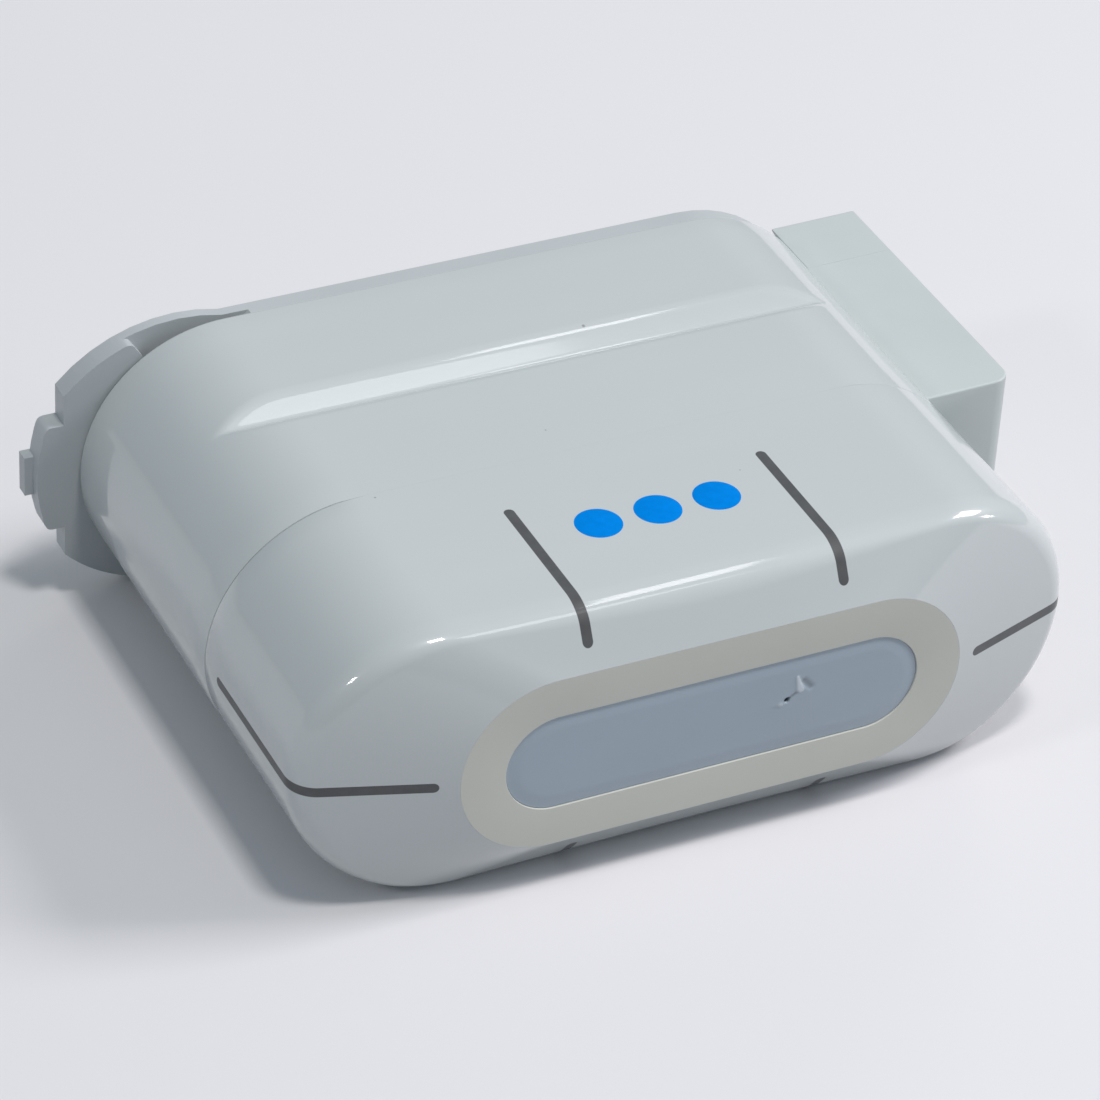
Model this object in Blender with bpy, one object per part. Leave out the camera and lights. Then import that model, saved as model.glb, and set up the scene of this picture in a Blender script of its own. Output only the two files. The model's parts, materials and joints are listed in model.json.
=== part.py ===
"""Ultrasound transducer cartridge: a flat sealed housing with an acoustic window in its nose.

Inside, a carriage with a bowl-shaped element slides on two rods along the window.
Frame: +X to the right seen from the front, -Y out of the window, +Z up. The origin is on
the flat underside, in the middle of the width.
"""

import math

import bmesh
import bpy
from mathutils import Matrix, Vector

MM = 0.001

# Clearances
GAP = 0.3 * MM               # between pieces that seat on each other
RUNNING_GAP = 0.25 * MM      # round the guide rods
CARRIAGE_AIR = 1.0 * MM      # round the moving carriage

# Housing
FRONT_Y = -30.0 * MM         # front plane of the window frame
BODY_HALF_WIDTH = 38.4 * MM
BODY_HALF_HEIGHT = 14.2 * MM
BODY_DEPTH = 55.9 * MM       # front plane to the rear edge of the rear shell
SEAM_DEPTH = 24.7 * MM       # parting line between the two shells
WALL = 2.2 * MM
REAR_EDGE_ROUND = 0.5 * MM

# Nose of the front shell
NOSE_EDGE_DEPTH = 2.7 * MM   # unrounded ridge behind the front plane, in the middle
NOSE_EDGE_SWEEP = 1.8 * MM   # how much further back the ridge lies at both ends
CHIN_SETBACK = 1.3 * MM      # lower ridge behind the upper one, in the middle
CHIN_HALF_WIDTH = 30.0 * MM  # where that has run out
NOSE_ROUND = 2.5 * MM        # how far the ridge's rounding reaches down each face
NOSE_INNER_DEPTH = 8.5 * MM  # where the inner wall reaches its full width
NOSE_INNER_STEP = 2.3 * MM   # inner front corner outside the window frame
LEDGE_WIDTH = 2.0 * MM       # step on which the membrane's flange lies
LEDGE_THICKNESS = 1.3 * MM

# Joint between the shells
LIP_LENGTH = 3.0 * MM
LIP_THICKNESS = 0.9 * MM
GASKET_THICKNESS = 0.6 * MM
GASKET_INSET = 0.1 * MM

# Finger groove across the top and the underside of the rear shell
GROOVE_DEPTH = 38.2 * MM     # front edge of the groove behind the front plane
GROOVE_CUT = 1.5 * MM
GROOVE_FRONT_RUN = 2.0 * MM  # front wall, from its edge to the bottom
GROOVE_REAR_RUN = 2.1 * MM   # rear wall, from the bottom to its edge
GROOVE_BACKING = 0.8 * MM    # extra wall inside, behind the groove
GROOVE_MARGIN = 0.8 * MM

# Acoustic window
FRAME_HALF_WIDTH = 24.6 * MM
FRAME_HALF_HEIGHT = 9.0 * MM
FRAME_THICKNESS = 1.4 * MM
WINDOW_HALF_WIDTH = 20.3 * MM
WINDOW_HALF_HEIGHT = 5.0 * MM
MEMBRANE_THICKNESS = 0.4 * MM
MEMBRANE_RECESS = 0.35 * MM
MEMBRANE_ROUND = 0.4 * MM
FRAME_EDGE = 0.15 * MM

# Rear cap, its seat in the rear shell, and the fill plugs in it
CAP_THICKNESS = 2.1 * MM
CAP_SEAT_INSET = 1.0 * MM
PLUG_SPACING = 16.0 * MM     # fill plugs from the middle
PLUG_RADIUS = 1.6 * MM
PLUG_HEAD_RADIUS = 2.8 * MM
PLUG_HEAD = 1.0 * MM
PLUG_SEAL_WIRE = 0.35 * MM
PLUG_SEAT = 0.9 * MM

# Latch plate behind the housing
LATCH_BASE = 1.1 * MM        # thickness of the thin plate
LATCH_EAR = 1.0 * MM         # extra thickness of the ear
LATCH_TUCK = 0.7 * MM        # how far the plate stays inside the housing's height
EAR_TUCK = 0.1 * MM          # the same at the top of the ear's arc
LATCH_BOSS_INSET = 2.6 * MM
LAND_LEFT = 21.0 * MM        # left end of the raised land, from the middle
LAND_SLANT = 3.0 * MM        # how far its left end runs out below the flats
EAR_RADIUS = 16.1 * MM
EAR_ARC_BACK = 10.4 * MM     # centre of the ear's arc, inside the housing's left end
EAR_REACH = 1.4 * MM         # flat edge of the ear beyond the housing's left end
EAR_UNDERCUT = 0.6 * MM      # how far the ear goes in under the housing's rear edge
EAR_ANGLE = math.radians(56.0)
EAR_ROUND = 0.7 * MM
TAB_REACH = 4.1 * MM
TAB_HALF_HEIGHT = 5.75 * MM
KEY_REACH = 4.9 * MM         # small key behind the tab
KEY_HALF_HEIGHT = 2.1 * MM
KEY_DEPTH = 1.4 * MM

# Screws through latch plate, cap and rod brackets
SCREW_RADIUS = 1.0 * MM
SCREW_HEAD_RADIUS = 1.9 * MM
SCREW_HEAD = 0.9 * MM
SCREW_SUNK = 0.1 * MM
SCREW_HALF_SPREAD = 4.2 * MM
SCREW_FROM_BRACKET = 1.4 * MM

# Connector block on the right side
BLOCK_START = 28.2 * MM
BLOCK_SEAM = 52.5 * MM
BLOCK_OVERHANG = 4.4 * MM    # beyond the rear edge of the housing
BLOCK_REACH = 7.0 * MM       # beyond the right end of the housing
BLOCK_HALF_HEIGHT = 8.0 * MM
BLOCK_CORNER = 1.8 * MM
BLOCK_WALL = 1.1 * MM
SOCKET_WIDTH = 3.6 * MM
SOCKET_HALF_HEIGHT = 5.6 * MM
BOARD_THICKNESS = 1.0 * MM
BOARD_SETBACK = 1.8 * MM     # outer wall of the socket to the board's middle
BOARD_HALF_HEIGHT = 6.3 * MM
BOARD_RECESS = 0.8 * MM      # board's rear edge inside the socket's mouth
FINGER_COUNT = 7
FINGER_PITCH = 1.6 * MM
FINGER_WIDTH = 1.0 * MM
FINGER_LENGTH = 5.0 * MM
FINGER_HEIGHT = 0.12 * MM
CHIP_THICKNESS = 0.8 * MM
CHIP_SIZE = 4.6 * MM
CHIP_GAP = 0.1 * MM
CHIP_SETBACK = 2.6 * MM      # chip to the contact fingers

# Port through the housing's side, and the flat flex circuit through it
PORT_HALF_HEIGHT = 5.9 * MM
PORT_HALF_DEPTH = 3.2 * MM
PORT_WALL = 0.9 * MM
PORT_INNER_REACH = 3.4 * MM  # from the housing's outside to the port's inner end
FLEX_AIR = 3.4 * MM          # flex circuit's long run to the magnet tray
FLEX_THICKNESS = 0.25 * MM
FLEX_HALF_WIDTH = 3.6 * MM
FLEX_TURN = 4.5 * MM         # radius of the U-turn that rolls along
FLEX_TURN_SIDE = 5.0 * MM    # centre of the U-turn, right of the middle
FLEX_CORNER = 1.2 * MM
FLEX_TAIL = 5.0 * MM         # length soldered along the board

# Linear guide
TRAVEL = 12.5 * MM           # each way from the middle
ROD_DEPTH = 21.5 * MM
ROD_RADIUS = 1.5 * MM
BUSH_WALL = 0.75 * MM
BUSH_LENGTH = 6.0 * MM
BUSH_COVER = 1.2 * MM        # carriage material over the bush
BRACKET_SETBACK = 10.2 * MM  # housing's end to the bracket's inner face
BRACKET_THICKNESS = 2.4 * MM
BRACKET_NOSE = 3.0 * MM      # bracket in front of the rod axis
BRACKET_BRIDGE = 5.0 * MM    # rod axis to the bracket's window
BRACKET_FLOOR = 3.2 * MM     # bracket's window to its foot
BRACKET_RIM = 4.1 * MM
FOOT_THICKNESS = 2.5 * MM
FOOT_LENGTH = 3.4 * MM
FOOT_HALF_HEIGHT = 6.0 * MM
BUMPER_LENGTH = 1.2 * MM
BUMPER_WALL = 1.1 * MM

# Carriage
CARRIAGE_BLOCK = 7.0 * MM    # along the depth, round the rods
CUP_WALL = 0.9 * MM
CUP_FLOOR = 2.0 * MM
ARM_THICKNESS = 2.6 * MM
ARM_HALF_WIDTH = 7.0 * MM
TRAY_WALL = 1.3 * MM
MAGNET_WIDTH = 8.4 * MM
MAGNET_THICKNESS = 4.6 * MM
YOKE_THICKNESS = 1.2 * MM
FLEX_PAD_LENGTH = 8.0 * MM
FLEX_PAD_HALF_HEIGHT = 4.0 * MM

# Ultrasound element: a spherical bowl that focuses in front of the window
FOCUS_DEPTH = 4.5 * MM
FOCAL_LENGTH = 15.5 * MM
BOWL_THICKNESS = 1.0 * MM
BOWL_HOLE = 2.1 * MM
RETAINER_THICKNESS = 0.6 * MM
RETAINER_LIP = 0.4 * MM

# Smoothness of round forms
END_STEPS = 24               # segments of each half-round end
FLAT_STEPS = 8               # segments of each flat between the ends
TURN_STEPS = 24
NOSE_STEPS = 5

# Values that follow from the sizes above
AXIS_Z = BODY_HALF_HEIGHT
END_X = BODY_HALF_WIDTH - BODY_HALF_HEIGHT
LIP_INSET = WALL - LIP_THICKNESS
LEDGE_DEPTH = FRAME_THICKNESS + 2 * GAP + MEMBRANE_THICKNESS
FRONT_WALL_BACK = LEDGE_DEPTH + LEDGE_THICKNESS
SEAM_FRONT = SEAM_DEPTH - GAP / 2
SEAM_REAR = SEAM_DEPTH + GAP / 2
LIP_END = SEAM_FRONT + LIP_LENGTH
GASKET_SHOULDER = LIP_END + 2 * GAP + GASKET_THICKNESS
CAP_REAR = BODY_DEPTH - GAP
CAP_FRONT = CAP_REAR - CAP_THICKNESS
CAP_SHOULDER = CAP_FRONT - 2 * GAP - GASKET_THICKNESS
EAR_FRONT = BODY_DEPTH + GAP
LATCH_BASE_FRONT = EAR_FRONT + LATCH_EAR
LATCH_REAR = LATCH_BASE_FRONT + LATCH_BASE
GROOVE_BOTTOM = GROOVE_DEPTH + GROOVE_FRONT_RUN
GROOVE_END = GROOVE_BOTTOM + GROOVE_REAR_RUN
BLOCK_X = BODY_HALF_WIDTH + BLOCK_REACH
BLOCK_END = BODY_DEPTH + BLOCK_OVERHANG
SOCKET_OUTER = BLOCK_X - BLOCK_WALL
SOCKET_INNER = SOCKET_OUTER - SOCKET_WIDTH
BOARD_X = SOCKET_OUTER - BOARD_SETBACK
BOARD_START = BLOCK_START + BLOCK_CORNER + GAP
BOARD_END = BLOCK_END - BOARD_RECESS
PORT_INNER = BODY_HALF_WIDTH - PORT_INNER_REACH
CAVITY_HALF_HEIGHT = BODY_HALF_HEIGHT - WALL - GROOVE_BACKING
CARRIAGE_HALF_HEIGHT = CAVITY_HALF_HEIGHT - CARRIAGE_AIR
BUSH_INNER = ROD_RADIUS + RUNNING_GAP
BUSH_OUTER = BUSH_INNER + BUSH_WALL
ROD_Z = CARRIAGE_HALF_HEIGHT - BUSH_COVER - GAP - BUSH_OUTER
BRACKET_X = BODY_HALF_WIDTH - BRACKET_SETBACK
BRACKET_OUTER = BRACKET_X + BRACKET_THICKNESS
BUMPER_INNER_X = BRACKET_X - GAP - BUMPER_LENGTH
CARRIAGE_HALF_LENGTH = BUMPER_INNER_X - GAP - TRAVEL
FOOT_END = CAP_FRONT - GAP
FOOT_START = FOOT_END - FOOT_THICKNESS
SCREW_X = BRACKET_OUTER + SCREW_FROM_BRACKET
BLOCK_FRONT = ROD_DEPTH - CARRIAGE_BLOCK / 2
BLOCK_REAR = ROD_DEPTH + CARRIAGE_BLOCK / 2
TRAY_REAR = CAP_FRONT - CARRIAGE_AIR
MAGNET_REAR = TRAY_REAR - GAP
MAGNET_FRONT = MAGNET_REAR - MAGNET_THICKNESS
YOKE_FRONT = MAGNET_FRONT - GAP - YOKE_THICKNESS
TRAY_FRONT = YOKE_FRONT - GAP - TRAY_WALL
PORT_DEPTH = TRAY_FRONT - FLEX_AIR
MAGNET_HALF_SPAN = MAGNET_WIDTH + GAP / 2
MAGNET_HALF_HEIGHT = CARRIAGE_HALF_HEIGHT - TRAY_WALL - GAP
BOWL_RADIUS = CARRIAGE_HALF_HEIGHT - CUP_WALL - GAP
FOCUS = -FOCUS_DEPTH
FLEX_PAD_REAR = PORT_DEPTH - 2 * FLEX_TURN - FLEX_THICKNESS / 2 - GAP


def at(x, depth, z):
    """World point from x, the depth behind the front plane and the height over the axis."""
    return (x, FRONT_Y + depth, AXIS_Z + z)


def make_material(name, colour, roughness, metallic=0.0, transmission=0.0):
    """A Principled material, or the one of that name that exists."""
    if name in bpy.data.materials:
        return bpy.data.materials[name]
    material = bpy.data.materials.new(name)
    material.use_nodes = True
    shader = material.node_tree.nodes["Principled BSDF"]
    shader.inputs["Base Color"].default_value = (*colour, 1.0)
    shader.inputs["Roughness"].default_value = roughness
    shader.inputs["Metallic"].default_value = metallic
    shader.inputs["Transmission Weight"].default_value = transmission
    material.diffuse_color = (*colour, 1.0)
    return material


def shell_plastic():
    return make_material("shell_plastic", (0.72, 0.75, 0.77), 0.22)


def frame_plastic():
    return make_material("frame_plastic", (0.66, 0.65, 0.60), 0.45)


def membrane_film():
    return make_material("membrane_film", (0.46, 0.51, 0.60), 0.30, transmission=0.2)


def grey_plastic():
    return make_material("grey_plastic", (0.60, 0.63, 0.64), 0.55)


def inner_plastic():
    return make_material("inner_plastic", (0.80, 0.79, 0.74), 0.50)


def black_rubber():
    return make_material("black_rubber", (0.03, 0.03, 0.03), 0.80)


def blue_rubber():
    return make_material("blue_rubber", (0.10, 0.25, 0.45), 0.70)


def steel():
    return make_material("steel", (0.62, 0.63, 0.64), 0.25, metallic=1.0)


def bronze():
    return make_material("bronze", (0.60, 0.42, 0.22), 0.40, metallic=1.0)


def nickel():
    return make_material("nickel", (0.70, 0.68, 0.64), 0.20, metallic=1.0)


def piezo_ceramic():
    return make_material("piezo_ceramic", (0.62, 0.55, 0.44), 0.60)


def board_laminate():
    return make_material("board_laminate", (0.03, 0.22, 0.12), 0.50)


def chip_resin():
    return make_material("chip_resin", (0.04, 0.04, 0.045), 0.55)


def polyimide():
    return make_material("polyimide", (0.70, 0.35, 0.08), 0.35)


def finish_mesh(name, builder, material):
    """Turn a filled bmesh into a smooth-shaded object with one material."""
    bmesh.ops.recalc_face_normals(builder, faces=builder.faces)
    mesh = bpy.data.meshes.new(name)
    builder.to_mesh(mesh)
    builder.free()
    mesh.shade_smooth()
    mesh.set_sharp_from_angle(angle=math.radians(30))
    mesh.materials.append(material)
    piece = bpy.data.objects.new(name, mesh)
    bpy.context.scene.collection.objects.link(piece)
    return piece


def loft(name, loops, material, hollow=False, rounds=()):
    """Skin equal loops of points in order.

    A hollow one joins its last loop to its first; a full one is capped at both ends.
    rounds lists (loop number, width, steps) for loops whose edge is rounded off.
    """
    builder = bmesh.new()
    rings = []
    for loop in loops:
        rings.append([builder.verts.new(point) for point in loop])
    pairs = list(zip(rings, rings[1:]))
    if hollow:
        pairs.append((rings[-1], rings[0]))
    for first, second in pairs:
        for i, vertex in enumerate(first):
            j = (i + 1) % len(first)
            builder.faces.new((vertex, first[j], second[j], second[i]))
    if not hollow:
        builder.faces.new(rings[0])
        builder.faces.new(rings[-1])
    bmesh.ops.recalc_face_normals(builder, faces=builder.faces)
    for number, width, steps in rounds:
        ring = rings[number]
        edges = [builder.edges.get((v, ring[(i + 1) % len(ring)])) for i, v in enumerate(ring)]
        bmesh.ops.bevel(builder, geom=edges, offset=width, offset_type="OFFSET",
                        segments=steps, profile=0.5, affect="EDGES", clamp_overlap=False)
    return finish_mesh(name, builder, material)


def stadium(half_width, half_height):
    """Points (x, z) round a slot shape: two half circles joined by flats."""
    reach = half_width - half_height
    points = []
    for side in (1, -1):
        for i in range(END_STEPS + 1):
            angle = math.pi / 2 - math.pi * i / END_STEPS
            across = reach + half_height * math.cos(angle)
            points.append((side * across, side * half_height * math.sin(angle)))
        for i in range(1, FLAT_STEPS):
            points.append((side * reach * (1 - 2 * i / FLAT_STEPS), -side * half_height))
    return points


def stadium_ring(half_width, half_height, depth):
    """A slot-shaped loop at one depth."""
    return [at(x, depth, z) for x, z in stadium(half_width, half_height)]


def body_ring(inset, depth):
    """The housing's outline, moved inwards by an inset."""
    return stadium_ring(BODY_HALF_WIDTH - inset, BODY_HALF_HEIGHT - inset, depth)


def nose_ridge():
    """The unrounded ridge between the nose facets and the sides, swept back at both ends."""
    loop = []
    for x, z in stadium(BODY_HALF_WIDTH, BODY_HALF_HEIGHT):
        sweep = NOSE_EDGE_SWEEP * (x / BODY_HALF_WIDTH) ** 2
        if z < 0:
            run_out = max(1 - (x / CHIN_HALF_WIDTH) ** 2, 0)
            sweep += CHIN_SETBACK * run_out * (z / BODY_HALF_HEIGHT) ** 2
        loop.append(at(x, NOSE_EDGE_DEPTH + sweep, z))
    return loop


def arc(centre, radius, start, end, steps):
    """Points (a, b) along an arc, both ends included."""
    points = []
    for i in range(steps + 1):
        angle = start + (end - start) * i / steps
        points.append((centre[0] + radius * math.cos(angle), centre[1] + radius * math.sin(angle)))
    return points


def fillet(before, corner, after, radius, steps=3):
    """Arc points that round the corner between two straight runs."""
    corner = Vector(corner)
    first = (Vector(before) - corner).normalized()
    second = (Vector(after) - corner).normalized()
    half = first.angle(second) / 2
    centre = corner + (first + second).normalized() * (radius / math.sin(half))
    start = corner + first * (radius / math.tan(half)) - centre
    end = corner + second * (radius / math.tan(half)) - centre
    turn = start.angle_signed(end)
    points = []
    for i in range(steps + 1):
        points.append(tuple(centre + Matrix.Rotation(-turn * i / steps, 2) @ start))
    return points


def prism_along_depth(name, outline, start, end, material, rounds=()):
    """Extrude an (x, z) outline from one depth to another."""
    loops = [[at(x, depth, z) for x, z in outline] for depth in (start, end)]
    return loft(name, loops, material, rounds=rounds)


def prism_along_height(name, outline, half_height, material, rounds=()):
    """Extrude an (x, depth) outline through the same height up and down."""
    loops = [[at(x, depth, z) for x, depth in outline] for z in (-half_height, half_height)]
    return loft(name, loops, material, rounds=rounds)


def box(name, x_range, depth_range, z_range, material):
    """A plain block between two x, two depth and two height values."""
    (left, right), (low, high) = x_range, z_range
    outline = [(left, low), (right, low), (right, high), (left, high)]
    return prism_along_depth(name, outline, depth_range[0], depth_range[1], material)


def turned(name, profile, centre, material, axis="Y", hollow=False, steps=TURN_STEPS):
    """Turn (radius, offset) points about an axis through the centre, given as x, depth, z."""
    loops = []
    for radius, offset in profile:
        loop = []
        for a, b in arc((0, 0), radius, 0, math.tau * (1 - 1 / steps), steps - 1):
            if axis == "Y":
                loop.append(at(centre[0] + a, centre[1] + offset, centre[2] + b))
            else:
                loop.append(at(centre[0] + offset, centre[1] + a, centre[2] + b))
        loops.append(loop)
    return loft(name, loops, material, hollow=hollow)


def peg(name, radius, start, end, centre, material, axis="Y", steps=TURN_STEPS):
    """A plain round bar between two offsets along its axis."""
    profile = [(radius, start), (radius, end)]
    return turned(name, profile, centre, material, axis=axis, steps=steps)


def combine(target, operation, tools):
    """Add a Boolean for each tool, which stays in the file as a hidden guide."""
    for tool in tools:
        tool.hide_render = True
        tool.display_type = "WIRE"
        modifier = target.modifiers.new(tool.name, "BOOLEAN")
        modifier.operation = operation
        modifier.solver = "EXACT"
        modifier.object = tool
    return target


def end_height(radius, x):
    """Half height of the half-round end with this radius, at a distance x from the middle."""
    return math.sqrt(max(radius ** 2 - max(x - END_X, 0.0) ** 2, 0.0))


# Housing

def front_shell():
    """Moulded nose: slanted facets round the window, full width at the seam, hollow behind."""
    opening_width = FRAME_HALF_WIDTH + GAP
    opening_height = FRAME_HALF_HEIGHT + GAP
    loops = [
        stadium_ring(opening_width, opening_height, 0),
        nose_ridge(),
        body_ring(0, SEAM_FRONT),
        body_ring(LIP_INSET, SEAM_FRONT),
        body_ring(LIP_INSET, LIP_END),
        body_ring(WALL, LIP_END),
        body_ring(WALL, NOSE_INNER_DEPTH),
        stadium_ring(opening_width + NOSE_INNER_STEP,
                     opening_height + NOSE_INNER_STEP / 2, FRONT_WALL_BACK),
        stadium_ring(opening_width - LEDGE_WIDTH, opening_height - LEDGE_WIDTH, FRONT_WALL_BACK),
        stadium_ring(opening_width - LEDGE_WIDTH, opening_height - LEDGE_WIDTH, LEDGE_DEPTH),
        stadium_ring(opening_width, opening_height, LEDGE_DEPTH),
    ]
    return loft("front_shell", loops, shell_plastic(), hollow=True,
                rounds=[(1, NOSE_ROUND, NOSE_STEPS)])


def groove_cutter(side):
    """V-shaped bar with a rounded bottom that cuts one finger groove."""
    above = GROOVE_CUT
    stretch = 1 + above / GROOVE_CUT
    front = (GROOVE_BOTTOM - GROOVE_FRONT_RUN * stretch, BODY_HALF_HEIGHT + above)
    bottom = (GROOVE_BOTTOM, BODY_HALF_HEIGHT - GROOVE_CUT)
    rear = (GROOVE_BOTTOM + GROOVE_REAR_RUN * stretch, BODY_HALF_HEIGHT + above)
    outline = [front] + fillet(front, bottom, rear, GROOVE_CUT / 4) + [rear]
    loops = []
    for x in (-BODY_HALF_WIDTH, BODY_HALF_WIDTH):
        loops.append([at(x, depth, side * z) for depth, z in outline])
    name = "groove_cutter_top" if side > 0 else "groove_cutter_bottom"
    return loft(name, loops, shell_plastic())


def rear_shell():
    """Moulded sleeve with seats for the gasket and the cap, grooves, and the side port."""
    backing = WALL + GROOVE_BACKING
    backing_start = GROOVE_DEPTH - GROOVE_MARGIN
    backing_end = GROOVE_END + GROOVE_MARGIN
    loops = [
        body_ring(0, SEAM_REAR),
        body_ring(0, BODY_DEPTH),
        body_ring(CAP_SEAT_INSET, BODY_DEPTH),
        body_ring(CAP_SEAT_INSET, CAP_SHOULDER),
        body_ring(WALL, CAP_SHOULDER),
        body_ring(WALL, backing_end + GROOVE_BACKING),
        body_ring(backing, backing_end),
        body_ring(backing, backing_start),
        body_ring(WALL, backing_start - GROOVE_BACKING),
        body_ring(WALL, GASKET_SHOULDER),
        body_ring(LIP_INSET - GAP, GASKET_SHOULDER),
        body_ring(LIP_INSET - GAP, SEAM_REAR),
    ]
    shell = loft("rear_shell", loops, shell_plastic(), hollow=True,
                 rounds=[(1, REAR_EDGE_ROUND, 2)])
    slot = box("port_cutter", (PORT_INNER - WALL, BODY_HALF_WIDTH + WALL),
               (PORT_DEPTH - PORT_HALF_DEPTH - GAP, PORT_DEPTH + PORT_HALF_DEPTH + GAP),
               (-PORT_HALF_HEIGHT - GAP, PORT_HALF_HEIGHT + GAP), shell_plastic())
    return combine(shell, "DIFFERENCE", [groove_cutter(1), groove_cutter(-1), slot])


def stadium_gasket(name, outer_inset, inner_inset, start):
    """Flat seal that follows the housing's outline."""
    end = start + GASKET_THICKNESS
    loops = [body_ring(outer_inset, start), body_ring(outer_inset, end),
             body_ring(inner_inset, end), body_ring(inner_inset, start)]
    return loft(name, loops, blue_rubber(), hollow=True)


def shell_gasket():
    return stadium_gasket("shell_gasket", LIP_INSET, WALL - GASKET_INSET, LIP_END + GAP)


def cap_gasket():
    return stadium_gasket("cap_gasket", CAP_SEAT_INSET + GAP, WALL - GASKET_INSET,
                          CAP_SHOULDER + GAP)


def window_frame():
    """Flush ring round the window, with softened edges."""
    loops = [
        stadium_ring(FRAME_HALF_WIDTH, FRAME_HALF_HEIGHT, 0),
        stadium_ring(FRAME_HALF_WIDTH, FRAME_HALF_HEIGHT, FRAME_THICKNESS),
        stadium_ring(WINDOW_HALF_WIDTH, WINDOW_HALF_HEIGHT, FRAME_THICKNESS),
        stadium_ring(WINDOW_HALF_WIDTH, WINDOW_HALF_HEIGHT, 0),
    ]
    return loft("window_frame", loops, frame_plastic(), hollow=True,
                rounds=[(0, FRAME_EDGE, 1), (3, FRAME_EDGE, 1)])


def window_membrane():
    """Thin formed film: a flange behind the frame and a raised middle that fills the window."""
    def raised(inset, depth):
        margin = GAP + inset
        return stadium_ring(WINDOW_HALF_WIDTH - margin, WINDOW_HALF_HEIGHT - margin, depth)

    flange_front = FRAME_THICKNESS + GAP
    flange_back = flange_front + MEMBRANE_THICKNESS
    loops = [
        raised(MEMBRANE_ROUND, MEMBRANE_RECESS),
        raised(0, MEMBRANE_RECESS + MEMBRANE_ROUND),
        raised(0, flange_front),
        stadium_ring(FRAME_HALF_WIDTH, FRAME_HALF_HEIGHT, flange_front),
        stadium_ring(FRAME_HALF_WIDTH, FRAME_HALF_HEIGHT, flange_back),
        raised(MEMBRANE_THICKNESS, flange_back),
        raised(MEMBRANE_THICKNESS, MEMBRANE_RECESS + MEMBRANE_THICKNESS + MEMBRANE_ROUND),
        raised(MEMBRANE_THICKNESS + MEMBRANE_ROUND, MEMBRANE_RECESS + MEMBRANE_THICKNESS),
    ]
    return loft("window_membrane", loops, membrane_film())


# Rear of the housing

def screw_places():
    """The four screws as (x, z)."""
    places = []
    for x in (-SCREW_X, SCREW_X):
        for z in (-SCREW_HALF_SPREAD, SCREW_HALF_SPREAD):
            places.append((x, z))
    return places


def screw_hole(owner, number, place, start, end):
    """Clearance hole for a screw's shank."""
    name = f"{owner}_screw_hole_{number}"
    return peg(name, SCREW_RADIUS + GAP, start, end, (place[0], 0, place[1]), grey_plastic())


def rear_cap():
    """Flat lid that closes the chamber, with screw holes and two stepped fill ports."""
    loops = [body_ring(CAP_SEAT_INSET + GAP, CAP_FRONT), body_ring(CAP_SEAT_INSET + GAP, CAP_REAR)]
    cap = loft("rear_cap", loops, inner_plastic())
    below = CAP_FRONT - GAP
    above = CAP_REAR + GAP
    cutters = []
    for number, place in enumerate(screw_places()):
        cutters.append(screw_hole("cap", number, place, below, above))
    seal_radius = PLUG_RADIUS + 2 * GAP + 2 * PLUG_SEAL_WIRE
    for side in (-1, 1):
        profile = [(PLUG_RADIUS + GAP, below), (PLUG_RADIUS + GAP, CAP_REAR - PLUG_SEAT),
                   (seal_radius, CAP_REAR - PLUG_SEAT), (seal_radius, above)]
        cutters.append(turned(f"fill_port_{side + 1}", profile, (side * PLUG_SPACING, 0, 0),
                              inner_plastic()))
    return combine(cap, "DIFFERENCE", cutters)


def fill_plug(name, x):
    """Round-headed plug that closes a fill port."""
    head_start = CAP_REAR + GAP
    profile = [(PLUG_RADIUS, CAP_FRONT), (PLUG_RADIUS, head_start),
               (PLUG_HEAD_RADIUS, head_start), (PLUG_HEAD_RADIUS, head_start + PLUG_HEAD)]
    return turned(name, profile, (x, 0, 0), steel())


def plug_seal(name, x):
    """O-ring under a fill plug's head."""
    middle = PLUG_RADIUS + GAP + PLUG_SEAL_WIRE
    depth = CAP_REAR - PLUG_SEAL_WIRE
    profile = arc((middle, depth), PLUG_SEAL_WIRE, 0, math.tau * 7 / 8, 7)
    return turned(name, profile, (x, 0, 0), black_rubber(), hollow=True)


def ear_end(inner_radius):
    """Inner and outer corner of the ear's upper end, on one ray from the left end's centre."""
    ray = Vector((-math.cos(EAR_ANGLE), math.sin(EAR_ANGLE)))
    start = Vector((-END_X, 0)) - Vector(ear_arc_centre())
    middle = -ray.dot(start)
    reach = middle + math.sqrt(middle ** 2 - start.length_squared + EAR_RADIUS ** 2)
    origin = Vector((-END_X, 0))
    return tuple(origin + ray * inner_radius), tuple(origin + ray * reach)


def ear_arc_centre():
    """Centre of the ear's upper arc, which bulges a little over the plate's flat top."""
    return (EAR_ARC_BACK - BODY_HALF_WIDTH, BODY_HALF_HEIGHT - EAR_TUCK - EAR_RADIUS)


def ear_arc(first_angle):
    """Outer line of the ear from an angle down to its flat left edge."""
    centre = ear_arc_centre()
    edge_x = -BODY_HALF_WIDTH - EAR_REACH
    last_angle = math.acos((edge_x - centre[0]) / EAR_RADIUS)
    return arc(centre, EAR_RADIUS, first_angle, last_angle, 8)


def tab_edge():
    """Upper half of the stepped tab, from the ear's flat edge to the middle height."""
    edge_x = -BODY_HALF_WIDTH - EAR_REACH
    root = (edge_x, TAB_HALF_HEIGHT)
    radius = BODY_HALF_HEIGHT + TAB_REACH
    corner_angle = math.asin(TAB_HALF_HEIGHT / radius)
    corner = (-END_X - radius * math.cos(corner_angle), TAB_HALF_HEIGHT)
    curve = arc((-END_X, 0), radius, math.pi - corner_angle * 0.8, math.pi, 3)
    return [root] + fillet(root, corner, curve[0], EAR_ROUND) + curve


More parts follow.
